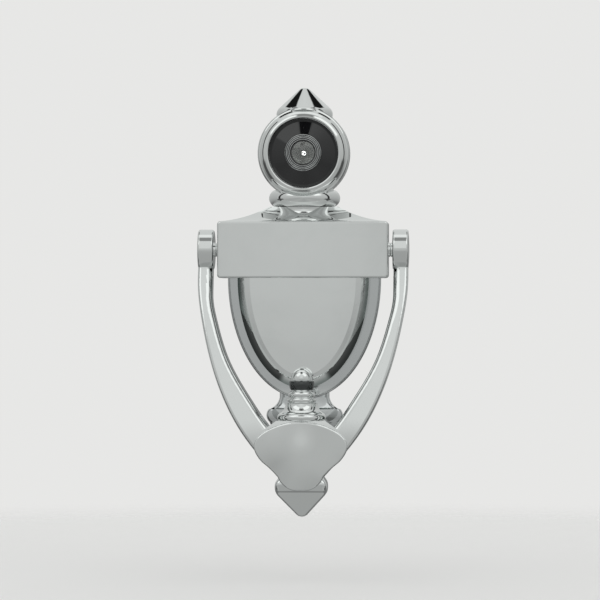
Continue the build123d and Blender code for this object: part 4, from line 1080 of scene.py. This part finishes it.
# %% Thread tree
def thread_tree():
    """A round ridge wound along Y at each of several heights."""
    tree, given, out = new_geometry_tree("wound_thread", [
        ("Shank radius", FLOAT, 0.0019), ("Pitch", FLOAT, 0.0007), ("Turns", FLOAT, 10.0),
        ("Ridge radius", FLOAT, 0.0002), ("Start", FLOAT, 0.0), ("Places", INT, 2),
        ("First height", FLOAT, 0.0), ("Spacing", FLOAT, -0.062),
    ])
    spiral = first_output(tree, "GeometryNodeCurveSpiral", {
        "Resolution": 20, "Rotations": given["Turns"], "Start Radius": given["Shank radius"],
        "End Radius": given["Shank radius"], "Height": times(tree, given["Pitch"], given["Turns"]),
    })
    ridge = swept(tree, spiral, RIDGE_SIDES, given["Ridge radius"], given["Start"])
    line = first_output(tree, "GeometryNodeMeshLine", {
        "Count": given["Places"], "Start Location": combine(tree, Z=given["First height"]),
        "Offset": combine(tree, Z=given["Spacing"]),
    })
    copies = first_output(tree, "GeometryNodeInstanceOnPoints", {"Points": line, "Instance": ridge})
    made_real(tree, copies, given, out)
    return tree


THREAD = thread_tree()
print("tree:", THREAD.name)

# %% Threads
SCREW_THREAD = {
    "Shank radius": 0.00188, "Pitch": 0.0007, "Turns": 60.0, "Ridge radius": 0.0002,
    "Start": 0.0013, "Places": 2, "First height": SCREW_HEIGHTS[0],
    "Spacing": SCREW_HEIGHTS[1] - SCREW_HEIGHTS[0],
}
TUBE_THREAD = {
    "Shank radius": 0.00587, "Pitch": TUBE_PITCH, "Turns": 45.0, "Ridge radius": 0.00017,
    "Start": 0.0087, "Places": 1, "First height": 0.0, "Spacing": 0.0,
}
screw_threads = grow("screw_threads", THREAD, SCREW_THREAD, finishes["fixing_screws"],
                     "plate")
tube_thread = grow("tube_thread", THREAD, TUBE_THREAD, finishes["eyepiece_barrel"],
                   "eyepiece")
print("faces in the threads:", len(screw_threads.data.polygons) + len(tube_thread.data.polygons))

# %% [markdown]
# Looking into a viewer, one sees bright and dark circles behind the front lens. They are baffles,
# rings that step inward to the small hole at the middle lens: their crests catch the light and the
# steps between stay black. The same fine circles stand on the dark front flange, where the tool
# left them. Both are stacks of wire rings, so one tree makes them from a first radius and steps.

# %% Ring tree
def ring_tree():
    """A stack of wire rings about the viewer's axis, each a step further in depth and in radius."""
    tree, given, out = new_geometry_tree("ring_stack", [
        ("First radius", FLOAT, 0.005), ("Radius step", FLOAT, 0.0), ("First depth", FLOAT, 0.0),
        ("Depth step", FLOAT, 0.001), ("Count", INT, 6), ("Wire radius", FLOAT, 0.0001),
    ])
    line = first_output(tree, "GeometryNodeMeshLine", {
        "Count": given["Count"], "Offset": combine(tree, Z=given["Depth step"]),
    })
    index = first_output(tree, "GeometryNodeInputIndex")
    radius = maths(tree, "MULTIPLY_ADD", index, given["Radius step"], given["First radius"])
    circle = first_output(tree, "GeometryNodeCurvePrimitiveCircle", {
        "Resolution": 96, "Radius": 1.0,
    })
    rings = first_output(tree, "GeometryNodeInstanceOnPoints", {
        "Points": line, "Instance": circle, "Scale": combine(tree, X=radius, Y=radius, Z=1.0),
    })
    curves = first_output(tree, "GeometryNodeRealizeInstances", {"Geometry": rings})
    wire = swept(tree, curves, WIRE_SIDES, given["Wire radius"], given["First depth"])
    made_real(tree, wire, given, out)
    return tree


RINGS = ring_tree()
print("tree:", RINGS.name)

# %% Ring stacks
BAFFLES = {
    "First radius": 0.00475, "Radius step": -0.0004, "First depth": -0.0138, "Depth step": 0.00055,
    "Count": 10, "Wire radius": 0.00036,
}
FLANGE_RINGS = {
    "First radius": 0.0070, "Radius step": 0.0007, "First depth": -0.0164, "Depth step": 0.0,
    "Count": 2, "Wire radius": 0.00018,
}
spacer_baffles = grow("spacer_baffles", RINGS, BAFFLES, worn_lacquer, "plate")
flange_rings = grow("flange_rings", RINGS, FLANGE_RINGS, finishes["outer_barrel"],
                    "plate")
print("faces in the rings:", len(spacer_baffles.data.polygons) + len(flange_rings.data.polygons))
